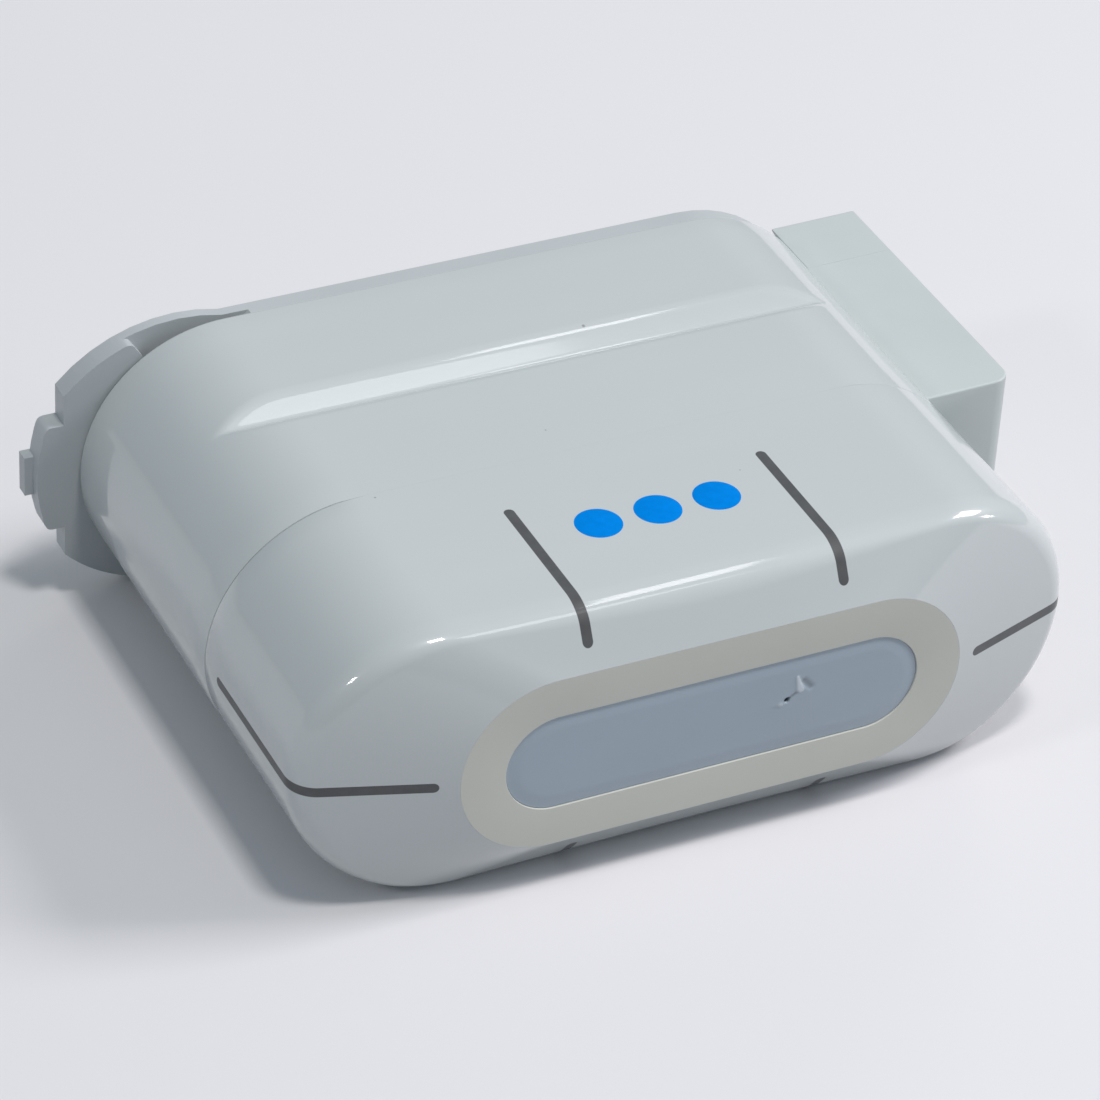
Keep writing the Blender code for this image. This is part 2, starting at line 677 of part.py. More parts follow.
def mirrored(upper):
    """Close an upper half line with its mirror image; the ends on the axis aren't doubled."""
    lower = [(x, -z) for x, z in reversed(upper) if z > GAP / 10]
    return upper + lower


def latch_outline():
    """Rear plate: round right end, flat top and underside, ear and stepped tab on the left."""
    half_height = BODY_HALF_HEIGHT - LATCH_TUCK
    upper = arc((END_X, 0), half_height, 0, math.pi / 2, END_STEPS // 2)
    meeting = math.asin((half_height - ear_arc_centre()[1]) / EAR_RADIUS)
    return mirrored(upper + ear_arc(meeting) + tab_edge())


def ear_outline():
    """Thick C-shaped rim of the plate, open to the right, with rounded ends."""
    inner_radius = BODY_HALF_HEIGHT - EAR_UNDERCUT
    inner, outer = ear_end(inner_radius)
    centre = ear_arc_centre()
    outer_angle = math.atan2(outer[1] - centre[1], outer[0] - centre[0])
    outside = ear_arc(outer_angle)
    inner_arc = arc((-END_X, 0), inner_radius, math.pi, math.pi - EAR_ANGLE, END_STEPS // 2)
    tip = fillet(inner_arc[-2], inner, outer, EAR_ROUND / 2)
    tip += fillet(inner, outer, outside[1], EAR_ROUND)
    line = inner_arc[:-1] + tip + outside[1:] + tab_edge()
    return line + [(x, -z) for x, z in reversed(line) if z > GAP / 10]


def land_outline():
    """Raised land behind the housing's edge, from the plate's right end to the ear."""
    half_height = BODY_HALF_HEIGHT - LATCH_TUCK
    upper = arc((END_X, 0), half_height, 0, math.pi / 2, END_STEPS // 2)
    upper.append((-LAND_LEFT, half_height))
    upper.append((-LAND_LEFT - LAND_SLANT, half_height - LAND_SLANT))
    return mirrored(upper)


def latch_plate():
    """Plate that locks the cartridge into its handpiece, with a boss that meets the cap."""
    plate = prism_along_depth("latch_plate", latch_outline(), LATCH_BASE_FRONT, LATCH_REAR,
                              grey_plastic())
    overlap = LATCH_BASE / 2
    ear = prism_along_depth("latch_ear", ear_outline(), EAR_FRONT,
                            LATCH_BASE_FRONT + overlap, grey_plastic())
    land = prism_along_depth("latch_land", land_outline(), EAR_FRONT,
                             LATCH_BASE_FRONT + overlap, grey_plastic())
    boss_front = CAP_REAR + GAP
    boss = loft("latch_boss", [body_ring(LATCH_BOSS_INSET, boss_front),
                               body_ring(LATCH_BOSS_INSET, LATCH_BASE_FRONT + overlap)],
                grey_plastic())
    key = box("latch_key", (-BODY_HALF_WIDTH - KEY_REACH, -BODY_HALF_WIDTH - EAR_REACH),
              (LATCH_REAR + GAP - KEY_DEPTH, LATCH_REAR + GAP),
              (-KEY_HALF_HEIGHT, KEY_HALF_HEIGHT), grey_plastic())
    combine(plate, "UNION", [ear, land, boss, key])
    rear = LATCH_REAR + GAP
    front = boss_front - GAP
    seat = LATCH_REAR - SCREW_SUNK - SCREW_HEAD - GAP
    cutters = []
    for number, (x, z) in enumerate(screw_places()):
        profile = [(SCREW_RADIUS + GAP, front), (SCREW_RADIUS + GAP, seat),
                   (SCREW_HEAD_RADIUS + GAP, seat), (SCREW_HEAD_RADIUS + GAP, rear)]
        cutters.append(turned(f"plate_screw_hole_{number}", profile, (x, 0, z), grey_plastic()))
    for side in (-1, 1):
        cutters.append(peg(f"plug_hole_{side + 1}", PLUG_HEAD_RADIUS + GAP, front, rear,
                           (side * PLUG_SPACING, 0, 0), grey_plastic()))
    return combine(plate, "DIFFERENCE", cutters)


def plate_screw(number, place):
    """Cheese-head screw from the plate into a rod bracket's foot."""
    head_end = LATCH_REAR - SCREW_SUNK
    head_start = head_end - SCREW_HEAD
    tip = FOOT_START + GAP
    profile = [(SCREW_RADIUS, tip), (SCREW_RADIUS, head_start),
               (SCREW_HEAD_RADIUS, head_start), (SCREW_HEAD_RADIUS, head_end)]
    return turned(f"plate_screw_{number}", profile, (place[0], 0, place[1]), steel())


# Connector block

def housing_clearance(name):
    """The housing's outline with a clearance, which hollows the connector block's inner side."""
    loops = [body_ring(-GAP, SEAM_DEPTH), body_ring(-GAP, BLOCK_END + WALL)]
    return loft(name, loops, grey_plastic())


def block_part(name, start, end, corner):
    """A length of the block; the front one has a rounded outer corner."""
    inner = END_X + BODY_HALF_HEIGHT / 2
    front_corner = (BLOCK_X, start)
    outline = [(inner, start)]
    if corner > 0:
        outline += fillet(outline[0], front_corner, (BLOCK_X, end), corner, 5)
    else:
        outline.append(front_corner)
    outline += [(BLOCK_X, end), (inner, end)]
    part = prism_along_height(name, outline, BLOCK_HALF_HEIGHT, grey_plastic())
    return combine(part, "DIFFERENCE", [housing_clearance(f"{name}_clearance")])


def socket_cutters(name, start, end):
    """The inner space of the block and the two grooves that hold the board's edges."""
    space = box(f"{name}_space", (SOCKET_INNER, SOCKET_OUTER), (start, end),
                (-SOCKET_HALF_HEIGHT, SOCKET_HALF_HEIGHT), grey_plastic())
    half = BOARD_THICKNESS / 2 + GAP
    grooves = box(f"{name}_grooves", (BOARD_X - half, BOARD_X + half), (start, end),
                  (-BOARD_HALF_HEIGHT - GAP, BOARD_HALF_HEIGHT + GAP), grey_plastic())
    return [space, grooves]


def connector_housing():
    """Front length of the block, with a hollow port that enters the housing's side."""
    housing = block_part("connector_housing", BLOCK_START, BLOCK_SEAM - GAP / 2, BLOCK_CORNER)
    port_end = SOCKET_INNER - WALL / 2
    port = box("port_spigot", (PORT_INNER, port_end),
               (PORT_DEPTH - PORT_HALF_DEPTH, PORT_DEPTH + PORT_HALF_DEPTH),
               (-PORT_HALF_HEIGHT, PORT_HALF_HEIGHT), grey_plastic())
    combine(housing, "UNION", [port])
    half_depth = PORT_HALF_DEPTH - PORT_WALL
    half_height = PORT_HALF_HEIGHT - PORT_WALL
    bore = box("port_bore", (PORT_INNER - WALL, SOCKET_INNER + BOARD_THICKNESS / 2),
               (PORT_DEPTH - half_depth, PORT_DEPTH + half_depth),
               (-half_height, half_height), grey_plastic())
    cutters = socket_cutters("housing", BOARD_START - GAP, BLOCK_SEAM + WALL)
    return combine(housing, "DIFFERENCE", [bore] + cutters)


def connector_cover():
    """Rear length of the block: the open socket round the board's contact fingers."""
    cover = block_part("connector_cover", BLOCK_SEAM + GAP / 2, BLOCK_END, 0)
    cutters = socket_cutters("cover", BLOCK_SEAM - WALL, BLOCK_END + WALL)
    return combine(cover, "DIFFERENCE", cutters)


def contact_board():
    """Circuit board with raised contact fingers on its outer face, at the socket's mouth."""
    half = BOARD_THICKNESS / 2
    board = box("contact_board", (BOARD_X - half, BOARD_X + half), (BOARD_START, BOARD_END),
                (-BOARD_HALF_HEIGHT, BOARD_HALF_HEIGHT), board_laminate())
    fingers = []
    for number in range(FINGER_COUNT):
        z = (number - (FINGER_COUNT - 1) / 2) * FINGER_PITCH
        fingers.append(box(f"contact_finger_{number}", (BOARD_X, BOARD_X + half + FINGER_HEIGHT),
                           (BOARD_END - GAP - FINGER_LENGTH, BOARD_END - GAP),
                           (z - FINGER_WIDTH / 2, z + FINGER_WIDTH / 2), board_laminate()))
    return combine(board, "UNION", fingers)


def memory_chip():
    """Small chip on the board's inner face."""
    right = BOARD_X - BOARD_THICKNESS / 2 - CHIP_GAP
    end = BOARD_END - FINGER_LENGTH - CHIP_SETBACK
    return box("memory_chip", (right - CHIP_THICKNESS, right), (end - CHIP_SIZE, end),
               (-CHIP_SIZE / 2, CHIP_SIZE / 2), chip_resin())


def feedthrough_seal():
    """Rubber block in the port, slit for the flex circuit."""
    half_depth = PORT_HALF_DEPTH - PORT_WALL - GAP
    half_height = PORT_HALF_HEIGHT - PORT_WALL - GAP
    right = SOCKET_INNER - 2 * GAP
    seal = box("feedthrough_seal", (PORT_INNER + GAP, right),
               (PORT_DEPTH - half_depth, PORT_DEPTH + half_depth),
               (-half_height, half_height), black_rubber())
    slit_half = FLEX_THICKNESS / 2 + GAP
    slit = box("seal_slit", (PORT_INNER - WALL, SOCKET_INNER + WALL),
               (PORT_DEPTH - slit_half, PORT_DEPTH + slit_half),
               (-FLEX_HALF_WIDTH - GAP, FLEX_HALF_WIDTH + GAP), black_rubber())
    return combine(seal, "DIFFERENCE", [slit])


def ribbon_outline(path, thickness):
    """Closed (x, depth) outline of a strip that follows a path."""
    left = []
    right = []
    for i, point in enumerate(path):
        before = Vector(path[max(i - 1, 0)])
        after = Vector(path[min(i + 1, len(path) - 1)])
        along = (after - before).normalized()
        across = Vector((-along.y, along.x)) * (thickness / 2)
        left.append(tuple(Vector(point) + across))
        right.append(tuple(Vector(point) - across))
    return left + right[::-1]


def flex_circuit():
    """Flat circuit from the board, through the port, round a rolling U-turn to the carriage."""
    board_x = BOARD_X - BOARD_THICKNESS / 2 - GAP - FLEX_THICKNESS / 2
    tail = (board_x, PORT_DEPTH + FLEX_TAIL)
    corner = (board_x, PORT_DEPTH)
    turn = (FLEX_TURN_SIDE, PORT_DEPTH - FLEX_TURN)
    path = [tail] + fillet(tail, corner, (FLEX_TURN_SIDE, PORT_DEPTH), FLEX_CORNER, 4)
    path += arc(turn, FLEX_TURN, math.pi / 2, math.pi * 3 / 2, 12)
    path.append((FLEX_TURN_SIDE + FLEX_PAD_LENGTH, PORT_DEPTH - 2 * FLEX_TURN))
    return prism_along_height("flex_circuit", ribbon_outline(path, FLEX_THICKNESS),
                              FLEX_HALF_WIDTH, polyimide())


# Linear guide

def rod_bracket(name, side):
    """Plate that holds both rods, with a window for the flex circuit and a screwed foot."""
    half_height = end_height(CAVITY_HALF_HEIGHT, BRACKET_OUTER) - GAP

    def span(start, end):
        return tuple(sorted((side * start, side * end)))

    plate = box(name, span(BRACKET_X, BRACKET_OUTER), (ROD_DEPTH - BRACKET_NOSE, FOOT_END),
                (-half_height, half_height), steel())
    foot = box(f"{name}_foot", span(BRACKET_X + GAP, BRACKET_OUTER + FOOT_LENGTH),
               (FOOT_START, FOOT_END - GAP / 10), (-FOOT_HALF_HEIGHT, FOOT_HALF_HEIGHT), steel())
    combine(plate, "UNION", [foot])
    window_half = half_height - BRACKET_RIM
    through = span(BRACKET_X - WALL, BRACKET_OUTER + WALL)
    window = box(f"{name}_window", through,
                 (ROD_DEPTH + BRACKET_BRIDGE, FOOT_START - BRACKET_FLOOR),
                 (-window_half, window_half), steel())
    cutters = [window]
    for label, z in (("lower", -ROD_Z), ("upper", ROD_Z)):
        cutters.append(peg(f"{name}_{label}_hole", BUSH_INNER, through[0], through[1],
                           (0, ROD_DEPTH, z), steel(), axis="X"))
    for number, (x, z) in enumerate(screw_places()):
        if x * side > 0:
            cutters.append(screw_hole(name, number, (x, z), FOOT_START - WALL, FOOT_END + WALL))
    return combine(plate, "DIFFERENCE", cutters)


def guide_rod(name, z):
    """Ground rod along the window, held in both brackets."""
    half_length = BRACKET_OUTER - GAP
    return peg(name, ROD_RADIUS, -half_length, half_length, (0, ROD_DEPTH, z), steel(), axis="X")


def sleeve(name, inner, outer, left, right, z, material):
    """Short tube round a rod."""
    profile = [(inner, left), (outer, left), (outer, right), (inner, right)]
    return turned(name, profile, (0, ROD_DEPTH, z), material, axis="X", hollow=True)


def stop_bumpers():
    """Rubber rings on the rods, in front of the brackets, where the carriage stops."""
    outer = BUSH_INNER + BUMPER_WALL
    bumpers = []
    for side, side_name in ((-1, "left"), (1, "right")):
        left, right = sorted((side * BUMPER_INNER_X, side * (BUMPER_INNER_X + BUMPER_LENGTH)))
        for z, height_name in ((ROD_Z, "upper"), (-ROD_Z, "lower")):
            name = f"stop_bumper_{height_name}_{side_name}"
            bumpers.append(sleeve(name, BUSH_INNER, outer, left, right, z, black_rubber()))
    return bumpers


def rod_bushes():
    """Bronze sleeves in both ends of the carriage."""
    bushes = []
    for side, side_name in ((-1, "left"), (1, "right")):
        near = CARRIAGE_HALF_LENGTH - GAP - BUSH_LENGTH
        left, right = sorted((side * near, side * (near + BUSH_LENGTH)))
        for z, height_name in ((ROD_Z, "upper"), (-ROD_Z, "lower")):
            name = f"rod_bush_{height_name}_{side_name}"
            bushes.append(sleeve(name, BUSH_INNER, BUSH_OUTER, left, right, z, bronze()))
    return bushes


# Carriage and element

def bowl_depth(radius, sphere):
    """Depth of a sphere about the focus at a distance from the beam axis."""
    return FOCUS + math.sqrt(sphere ** 2 - radius ** 2)


def cup_ledge_radius():
    return BOWL_RADIUS - BOWL_THICKNESS / 2


def carriage():
    """One moulding: element cup, block with the rod bores, two arms and the magnet tray."""
    half_height = CARRIAGE_HALF_HEIGHT
    plastic = inner_plastic()
    body = box("carriage", (-CARRIAGE_HALF_LENGTH, CARRIAGE_HALF_LENGTH),
               (BLOCK_FRONT, BLOCK_REAR), (-half_height, half_height), plastic)
    cup_front = bowl_depth(BOWL_RADIUS, FOCAL_LENGTH) - GAP / 2
    cup = peg("carriage_cup", half_height - GAP / 10, cup_front, BLOCK_FRONT + GAP,
              (0, 0, 0), plastic, steps=36)
    overlap = CARRIAGE_BLOCK / 4
    arms = []
    for side in (-1, 1):
        arm_z = sorted((side * (half_height - GAP / 10),
                        side * (half_height - ARM_THICKNESS)))
        arms.append(box(f"carriage_arm_{side + 1}", (-ARM_HALF_WIDTH, ARM_HALF_WIDTH),
                        (BLOCK_REAR - overlap, TRAY_FRONT + TRAY_WALL / 2), arm_z, plastic))
    tray_half_width = MAGNET_HALF_SPAN + GAP + TRAY_WALL
    tray = box("carriage_tray", (-tray_half_width, tray_half_width), (TRAY_FRONT, TRAY_REAR),
               (-half_height, half_height), plastic)
    pad = box("carriage_flex_pad", (FLEX_TURN_SIDE + GAP, FLEX_TURN_SIDE + FLEX_PAD_LENGTH),
              (BLOCK_REAR - overlap, FLEX_PAD_REAR),
              (-FLEX_PAD_HALF_HEIGHT, FLEX_PAD_HALF_HEIGHT), plastic)
    combine(body, "UNION", [cup] + arms + [tray, pad])
    ledge_radius = cup_ledge_radius()
    ledge = bowl_depth(ledge_radius, FOCAL_LENGTH + BOWL_THICKNESS) + GAP
    cup_profile = [(BOWL_RADIUS + GAP, cup_front - GAP), (BOWL_RADIUS + GAP, ledge),
                   (ledge_radius, ledge), (ledge_radius, BLOCK_FRONT - CUP_FLOOR)]
    bore = turned("cup_bore", cup_profile, (0, 0, 0), plastic, steps=36)
    pocket = box("tray_pocket", (-MAGNET_HALF_SPAN - GAP, MAGNET_HALF_SPAN + GAP),
                 (YOKE_FRONT - GAP, TRAY_REAR + GAP),
                 (-MAGNET_HALF_HEIGHT - GAP, MAGNET_HALF_HEIGHT + GAP), plastic)
    cutters = [bore, pocket]
    reach = CARRIAGE_HALF_LENGTH + WALL
    for label, z in (("lower", -ROD_Z), ("upper", ROD_Z)):
        cutters.append(peg(f"rod_bore_{label}", BUSH_OUTER + GAP, -reach, reach,
                           (0, ROD_DEPTH, z), plastic, axis="X"))
    return combine(body, "DIFFERENCE", cutters)


def element_bowl():
    """Spherical ceramic bowl with a hole for the imaging element."""
    steps = 6
    front = []
    back = []
    for i in range(steps + 1):
        radius = BOWL_HOLE + (BOWL_RADIUS - BOWL_HOLE) * i / steps
        front.append((radius, bowl_depth(radius, FOCAL_LENGTH)))
        back.append((radius, bowl_depth(radius, FOCAL_LENGTH + BOWL_THICKNESS)))
    return turned("element_bowl", front + back[::-1], (0, 0, 0), piezo_ceramic(),
                  hollow=True, steps=36)


def imaging_element():
    """Round stem in the middle of the bowl, with a softened front edge."""
    radius = BOWL_HOLE - GAP
    front = bowl_depth(BOWL_HOLE, FOCAL_LENGTH)
    profile = [(radius - GAP, front), (radius, front + GAP),
               (radius, BLOCK_FRONT - CUP_FLOOR - GAP)]
    return turned("imaging_element", profile, (0, 0, 0), chip_resin())


def element_retainer():
    """Flat ring that holds the bowl's rim in the cup."""
    back = bowl_depth(BOWL_RADIUS, FOCAL_LENGTH) - GAP / 2 - GAP
    front = back - RETAINER_THICKNESS
    inner = BOWL_RADIUS - RETAINER_LIP
    outer = CARRIAGE_HALF_HEIGHT - GAP / 10
    profile = [(inner, front), (outer, front), (outer, back), (inner, back)]
    return turned("element_retainer", profile, (0, 0, 0), steel(), hollow=True, steps=36)


def magnet_yoke():
    """Steel plate behind which both magnets lie."""
    return box("magnet_yoke", (-MAGNET_HALF_SPAN, MAGNET_HALF_SPAN),
               (YOKE_FRONT, YOKE_FRONT + YOKE_THICKNESS),
               (-MAGNET_HALF_HEIGHT, MAGNET_HALF_HEIGHT), steel())


def drive_magnet(name, side):
    """One of the two block magnets that follow the drive outside the cap."""
    left, right = sorted((side * GAP / 2, side * MAGNET_HALF_SPAN))
    return box(name, (left, right), (MAGNET_FRONT, MAGNET_REAR),
               (-MAGNET_HALF_HEIGHT, MAGNET_HALF_HEIGHT), nickel())


def carriage_pieces():
    """Everything that slides, carried by an empty on the joint's axis."""
    axis = bpy.data.objects.new("element_travel_axis", None)
    axis.location = at(0, ROD_DEPTH, 0)
    bpy.context.scene.collection.objects.link(axis)
    pieces = [carriage(), element_bowl(), imaging_element(), element_retainer(), magnet_yoke(),
              drive_magnet("drive_magnet_left", -1), drive_magnet("drive_magnet_right", 1)]
    pieces += rod_bushes()
    for piece in pieces:
        piece.parent = axis
        piece.matrix_parent_inverse = Matrix.Translation(axis.location).inverted()


def clear_scene():
    for old in list(bpy.data.objects):
        bpy.data.objects.remove(old, do_unlink=True)


def main():
    clear_scene()
    front_shell()
    rear_shell()
    shell_gasket()
    window_frame()
    window_membrane()
    rear_cap()
    cap_gasket()
    latch_plate()
    for number, place in enumerate(screw_places(), start=1):
        plate_screw(number, place)
    for side, side_name in ((-1, "left"), (1, "right")):
        fill_plug(f"fill_plug_{side_name}", side * PLUG_SPACING)
        plug_seal(f"plug_seal_{side_name}", side * PLUG_SPACING)
        rod_bracket(f"rod_bracket_{side_name}", side)
    connector_housing()
    connector_cover()
    contact_board()
    memory_chip()
    feedthrough_seal()
    flex_circuit()
    guide_rod("guide_rod_upper", ROD_Z)
    guide_rod("guide_rod_lower", -ROD_Z)
    stop_bumpers()
    carriage_pieces()


main()
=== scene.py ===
import json
import math

import bmesh
import bpy
from mathutils import Matrix, Vector


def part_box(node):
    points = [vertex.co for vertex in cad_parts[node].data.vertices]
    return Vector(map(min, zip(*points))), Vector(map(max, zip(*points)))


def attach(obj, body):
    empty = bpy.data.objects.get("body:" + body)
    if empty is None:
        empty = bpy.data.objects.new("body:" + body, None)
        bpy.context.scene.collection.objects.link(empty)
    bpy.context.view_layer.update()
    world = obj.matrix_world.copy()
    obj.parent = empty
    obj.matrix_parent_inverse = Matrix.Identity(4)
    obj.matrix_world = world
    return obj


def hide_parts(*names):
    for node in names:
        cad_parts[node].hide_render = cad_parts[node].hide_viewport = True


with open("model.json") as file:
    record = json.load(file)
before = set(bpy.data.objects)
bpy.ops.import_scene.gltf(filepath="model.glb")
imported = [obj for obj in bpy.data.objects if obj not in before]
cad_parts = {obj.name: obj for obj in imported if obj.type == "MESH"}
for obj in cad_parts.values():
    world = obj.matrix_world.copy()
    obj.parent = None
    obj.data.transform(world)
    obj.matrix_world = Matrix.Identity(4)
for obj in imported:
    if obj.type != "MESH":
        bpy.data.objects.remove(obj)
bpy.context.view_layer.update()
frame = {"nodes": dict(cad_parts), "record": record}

MM = 0.001
FRONT_Y = -30.0                     # front plane of the window frame, mm
AXIS_Z = 14.2                       # middle height of the housing, mm

# Outside of the housing, in mm; depths are measured behind the front plane, heights from the middle
HALF_WIDTH = 38.4
HALF_HEIGHT = 14.2
END_X = HALF_WIDTH - HALF_HEIGHT    # axis of the round ends
BODY_DEPTH = 55.9
SEAM = 24.7                         # parting line between nose and sleeve
WALL = 2.2
GAP = 0.3                           # clearance between the solids


def at(x, depth, z):
    """World point from x, the depth behind the front plane and the height over the axis, in mm."""
    return Vector((x, FRONT_Y + depth, AXIS_Z + z)) * MM


# Materials

class Shader:
    """A material's node tree with short calls for the few kinds of node it needs."""

    def __init__(self, name, roughness, metallic=0.0, **constants):
        self.material = bpy.data.materials.new(name)
        self.material.use_nodes = True
        self.tree = self.material.node_tree
        self.main = self.tree.nodes["Principled BSDF"]
        self.main.inputs["Metallic"].default_value = metallic
        self.main.inputs["Roughness"].default_value = roughness
        for socket, value in constants.items():
            self.main.inputs[socket.replace("_", " ")].default_value = value
        self.place = self.tree.nodes.new("ShaderNodeTexCoord").outputs["Object"]
        split = self.tree.nodes.new("ShaderNodeSeparateXYZ")
        self.tree.links.new(self.place, split.inputs[0])
        self.x, self.y, self.z = split.outputs

    def feed(self, socket, value):
        if isinstance(value, bpy.types.NodeSocket):
            self.tree.links.new(value, socket)
        elif isinstance(value, tuple) and len(value) == 3 and socket.type == "RGBA":
            socket.default_value = (*value, 1.0)
        else:
            socket.default_value = value

    def math(self, operation, first, second=0.0, third=0.0):
        node = self.tree.nodes.new("ShaderNodeMath")
        node.operation = operation
        for socket, value in zip(node.inputs, (first, second, third)):
            self.feed(socket, value)
        return node.outputs[0]

    def noise(self, scale, detail=2.0, roughness=0.5, stretch=(1, 1, 1), shift=0.0):
        mapping = self.tree.nodes.new("ShaderNodeMapping")
        self.tree.links.new(self.place, mapping.inputs["Vector"])
        mapping.inputs["Scale"].default_value = stretch
        mapping.inputs["Location"].default_value = (shift, shift * 0.7, shift * 1.3)
        node = self.tree.nodes.new("ShaderNodeTexNoise")
        self.tree.links.new(mapping.outputs[0], node.inputs["Vector"])
        node.inputs["Scale"].default_value = scale
        node.inputs["Detail"].default_value = detail
        node.inputs["Roughness"].default_value = roughness
        return node.outputs["Fac"]

    def ramp(self, value, low, high, out_low=0.0, out_high=1.0):
        node = self.tree.nodes.new("ShaderNodeMapRange")
        node.interpolation_type = "SMOOTHSTEP"
        for socket, item in zip(node.inputs, (value, low, high, out_low, out_high)):
            self.feed(socket, item)
        return node.outputs[0]

    def mix(self, factor, first, second):
        node = self.tree.nodes.new("ShaderNodeMix")
        node.data_type = "RGBA"
        self.feed(node.inputs["Factor"], factor)
        self.feed(node.inputs["A"], first)
        self.feed(node.inputs["B"], second)
        return node.outputs["Result"]

    def bump(self, height, strength, distance):
        node = self.tree.nodes.new("ShaderNodeBump")
        node.inputs["Strength"].default_value = strength
        node.inputs["Distance"].default_value = distance * MM
        self.feed(node.inputs["Height"], height)
        self.tree.links.new(node.outputs[0], self.main.inputs["Normal"])

    def colour(self, value):
        self.feed(self.main.inputs["Base Color"], value)

    def roughness(self, value):
        self.feed(self.main.inputs["Roughness"], value)


def scaled(colour, factor):
    return tuple(min(1.0, c * factor) for c in colour)


def mottled(shader, pattern, colour, low, high):
    """A colour that drifts between two shares of itself with a pattern."""
    return shader.mix(shader.ramp(pattern, 0.3, 0.7), scaled(colour, low), scaled(colour, high))


def moulded(name, colour, roughness, grain=0.5, grain_height=0.004, mottling=0.03, **constants):
    """Moulded plastic: faint tone drift, fine grain and uneven sheen. Sizes in mm."""
    shader = Shader(name, roughness, **constants)
    shader.tone = mottled(shader, shader.noise(60, 3.0, shift=0.3), colour, 1 - mottling,
                          1 + mottling)
    shader.colour(shader.tone)
    shader.sheen = shader.noise(220, 4.0, 0.6, shift=0.8)
    shader.roughness(shader.ramp(shader.sheen, 0.25, 0.75, roughness * 0.85, roughness * 1.18))
    shader.bump(shader.noise(1000 / grain, 3.0, 0.6), 0.5, grain_height)
    return shader


SHELL = (0.575, 0.608, 0.615)
SHELL_ROUGHNESS = 0.30
PRINT = (0.098, 0.099, 0.101)
PRINT_ROUGHER = 0.12                # what the print adds to the shell's roughness
PRINT_COAT_LOSS = 0.75              # share of the gloss that the print hides
BLUE = (0.000, 0.226, 0.740)
DIRT = (0.10, 0.08, 0.06)
DIRT_SHARE = 0.50
DIRT_SPECKS = (                     # x, depth and radius
    (6.7, 42.6, 0.22), (-4.0, 28.2, 0.12), (-22.6, 24.1, 0.14), (9.6, 16.2, 0.10),
)

# Printed guide lines
LINE_HALF_WIDTH = 0.5
LINE_EDGE = 0.03
NOSE_LINE_X = 12.5                  # half the length of the treatment line
NOSE_LINE_REAR = 17.7
NOSE_LINE_LOW = 11.4                # height at which a nose line ends on its facet
SIDE_LINE_REAR = 21.4
SIDE_LINE_X = 26.9                  # where a side line ends on its facet


def away_from(shader, value, limit, side):
    """Distance past a limit in mm, on one side of it; zero on the other."""
    first, second = (value, limit * MM) if side > 0 else (limit * MM, value)
    return shader.math("MAXIMUM", shader.math("SUBTRACT", first, second), 0.0)


def length(shader, first, second):
    squares = shader.math("MULTIPLY_ADD", first, first, shader.math("MULTIPLY", second, second))
    return shader.math("SQRT", squares)


def depth_and_height(shader):
    return (shader.math("SUBTRACT", shader.y, FRONT_Y * MM),
            shader.math("SUBTRACT", shader.z, AXIS_Z * MM))


def line_mask(shader):
    """Printed guide lines: two over the nose above and below, and one round each end."""
    depth, height = depth_and_height(shader)
    tall = shader.math("ABSOLUTE", height)
    wide = shader.math("ABSOLUTE", shader.x)

    def line(across, beyond):
        low, high = (LINE_HALF_WIDTH - LINE_EDGE) * MM, (LINE_HALF_WIDTH + LINE_EDGE) * MM
        return shader.ramp(length(shader, across, beyond), low, high, 1.0, 0.0)

    nose = line(shader.math("SUBTRACT", wide, NOSE_LINE_X * MM),
                shader.math("ADD", away_from(shader, depth, NOSE_LINE_REAR, 1),
                            away_from(shader, tall, NOSE_LINE_LOW, -1)))
    sides = line(height, shader.math("ADD", away_from(shader, depth, SIDE_LINE_REAR, 1),
                                     away_from(shader, wide, SIDE_LINE_X, -1)))
    return shader.math("MAXIMUM", nose, sides)


def dirt_mask(shader):
    """A few specks of dirt on the top."""
    depth, height = depth_and_height(shader)
    specks = None
    for x, place, radius in DIRT_SPECKS:
        dx = shader.math("SUBTRACT", shader.x, x * MM)
        dy = shader.math("SUBTRACT", depth, place * MM)
        speck = shader.ramp(length(shader, dx, dy), radius * 0.4 * MM, radius * MM, 1.0, 0.0)
        specks = speck if specks is None else shader.math("MAXIMUM", specks, speck)
    upper = shader.math("GREATER_THAN", height, 0.0)
    return shader.math("MULTIPLY", specks, upper)


def shell_material(name, printed):
    """Glossy pale shell plastic: faint flow streaks, a few specks of dirt and the print."""
    shader = moulded(name, SHELL, SHELL_ROUGHNESS, grain=4.0, grain_height=0.003, mottling=0.008,
                     Coat_Weight=1.0, Coat_Roughness=0.05, Specular_IOR_Level=0.25)
    streaks = shader.noise(160, 2.0, 0.5, stretch=(0.05, 1, 1), shift=1.4)
    tone = shader.mix(shader.ramp(streaks, 0.30, 0.70), scaled(SHELL, 0.994), shader.tone)
    tone = shader.mix(shader.math("MULTIPLY", dirt_mask(shader), DIRT_SHARE), tone, DIRT)
    rough = shader.ramp(shader.sheen, 0.30, 0.70, SHELL_ROUGHNESS - 0.01, SHELL_ROUGHNESS + 0.03)
    if printed:
        lines = line_mask(shader)
        tone = shader.mix(lines, tone, mottled(shader, shader.noise(900, 3.0), PRINT, 0.93, 1.07))
        rough = shader.math("MULTIPLY_ADD", lines, PRINT_ROUGHER, rough)
        coat = shader.math("MULTIPLY_ADD", lines, -PRINT_COAT_LOSS, 1.0)
        shader.feed(shader.main.inputs["Coat Weight"], coat)
    shader.colour(tone)
    shader.roughness(rough)
    return shader.material


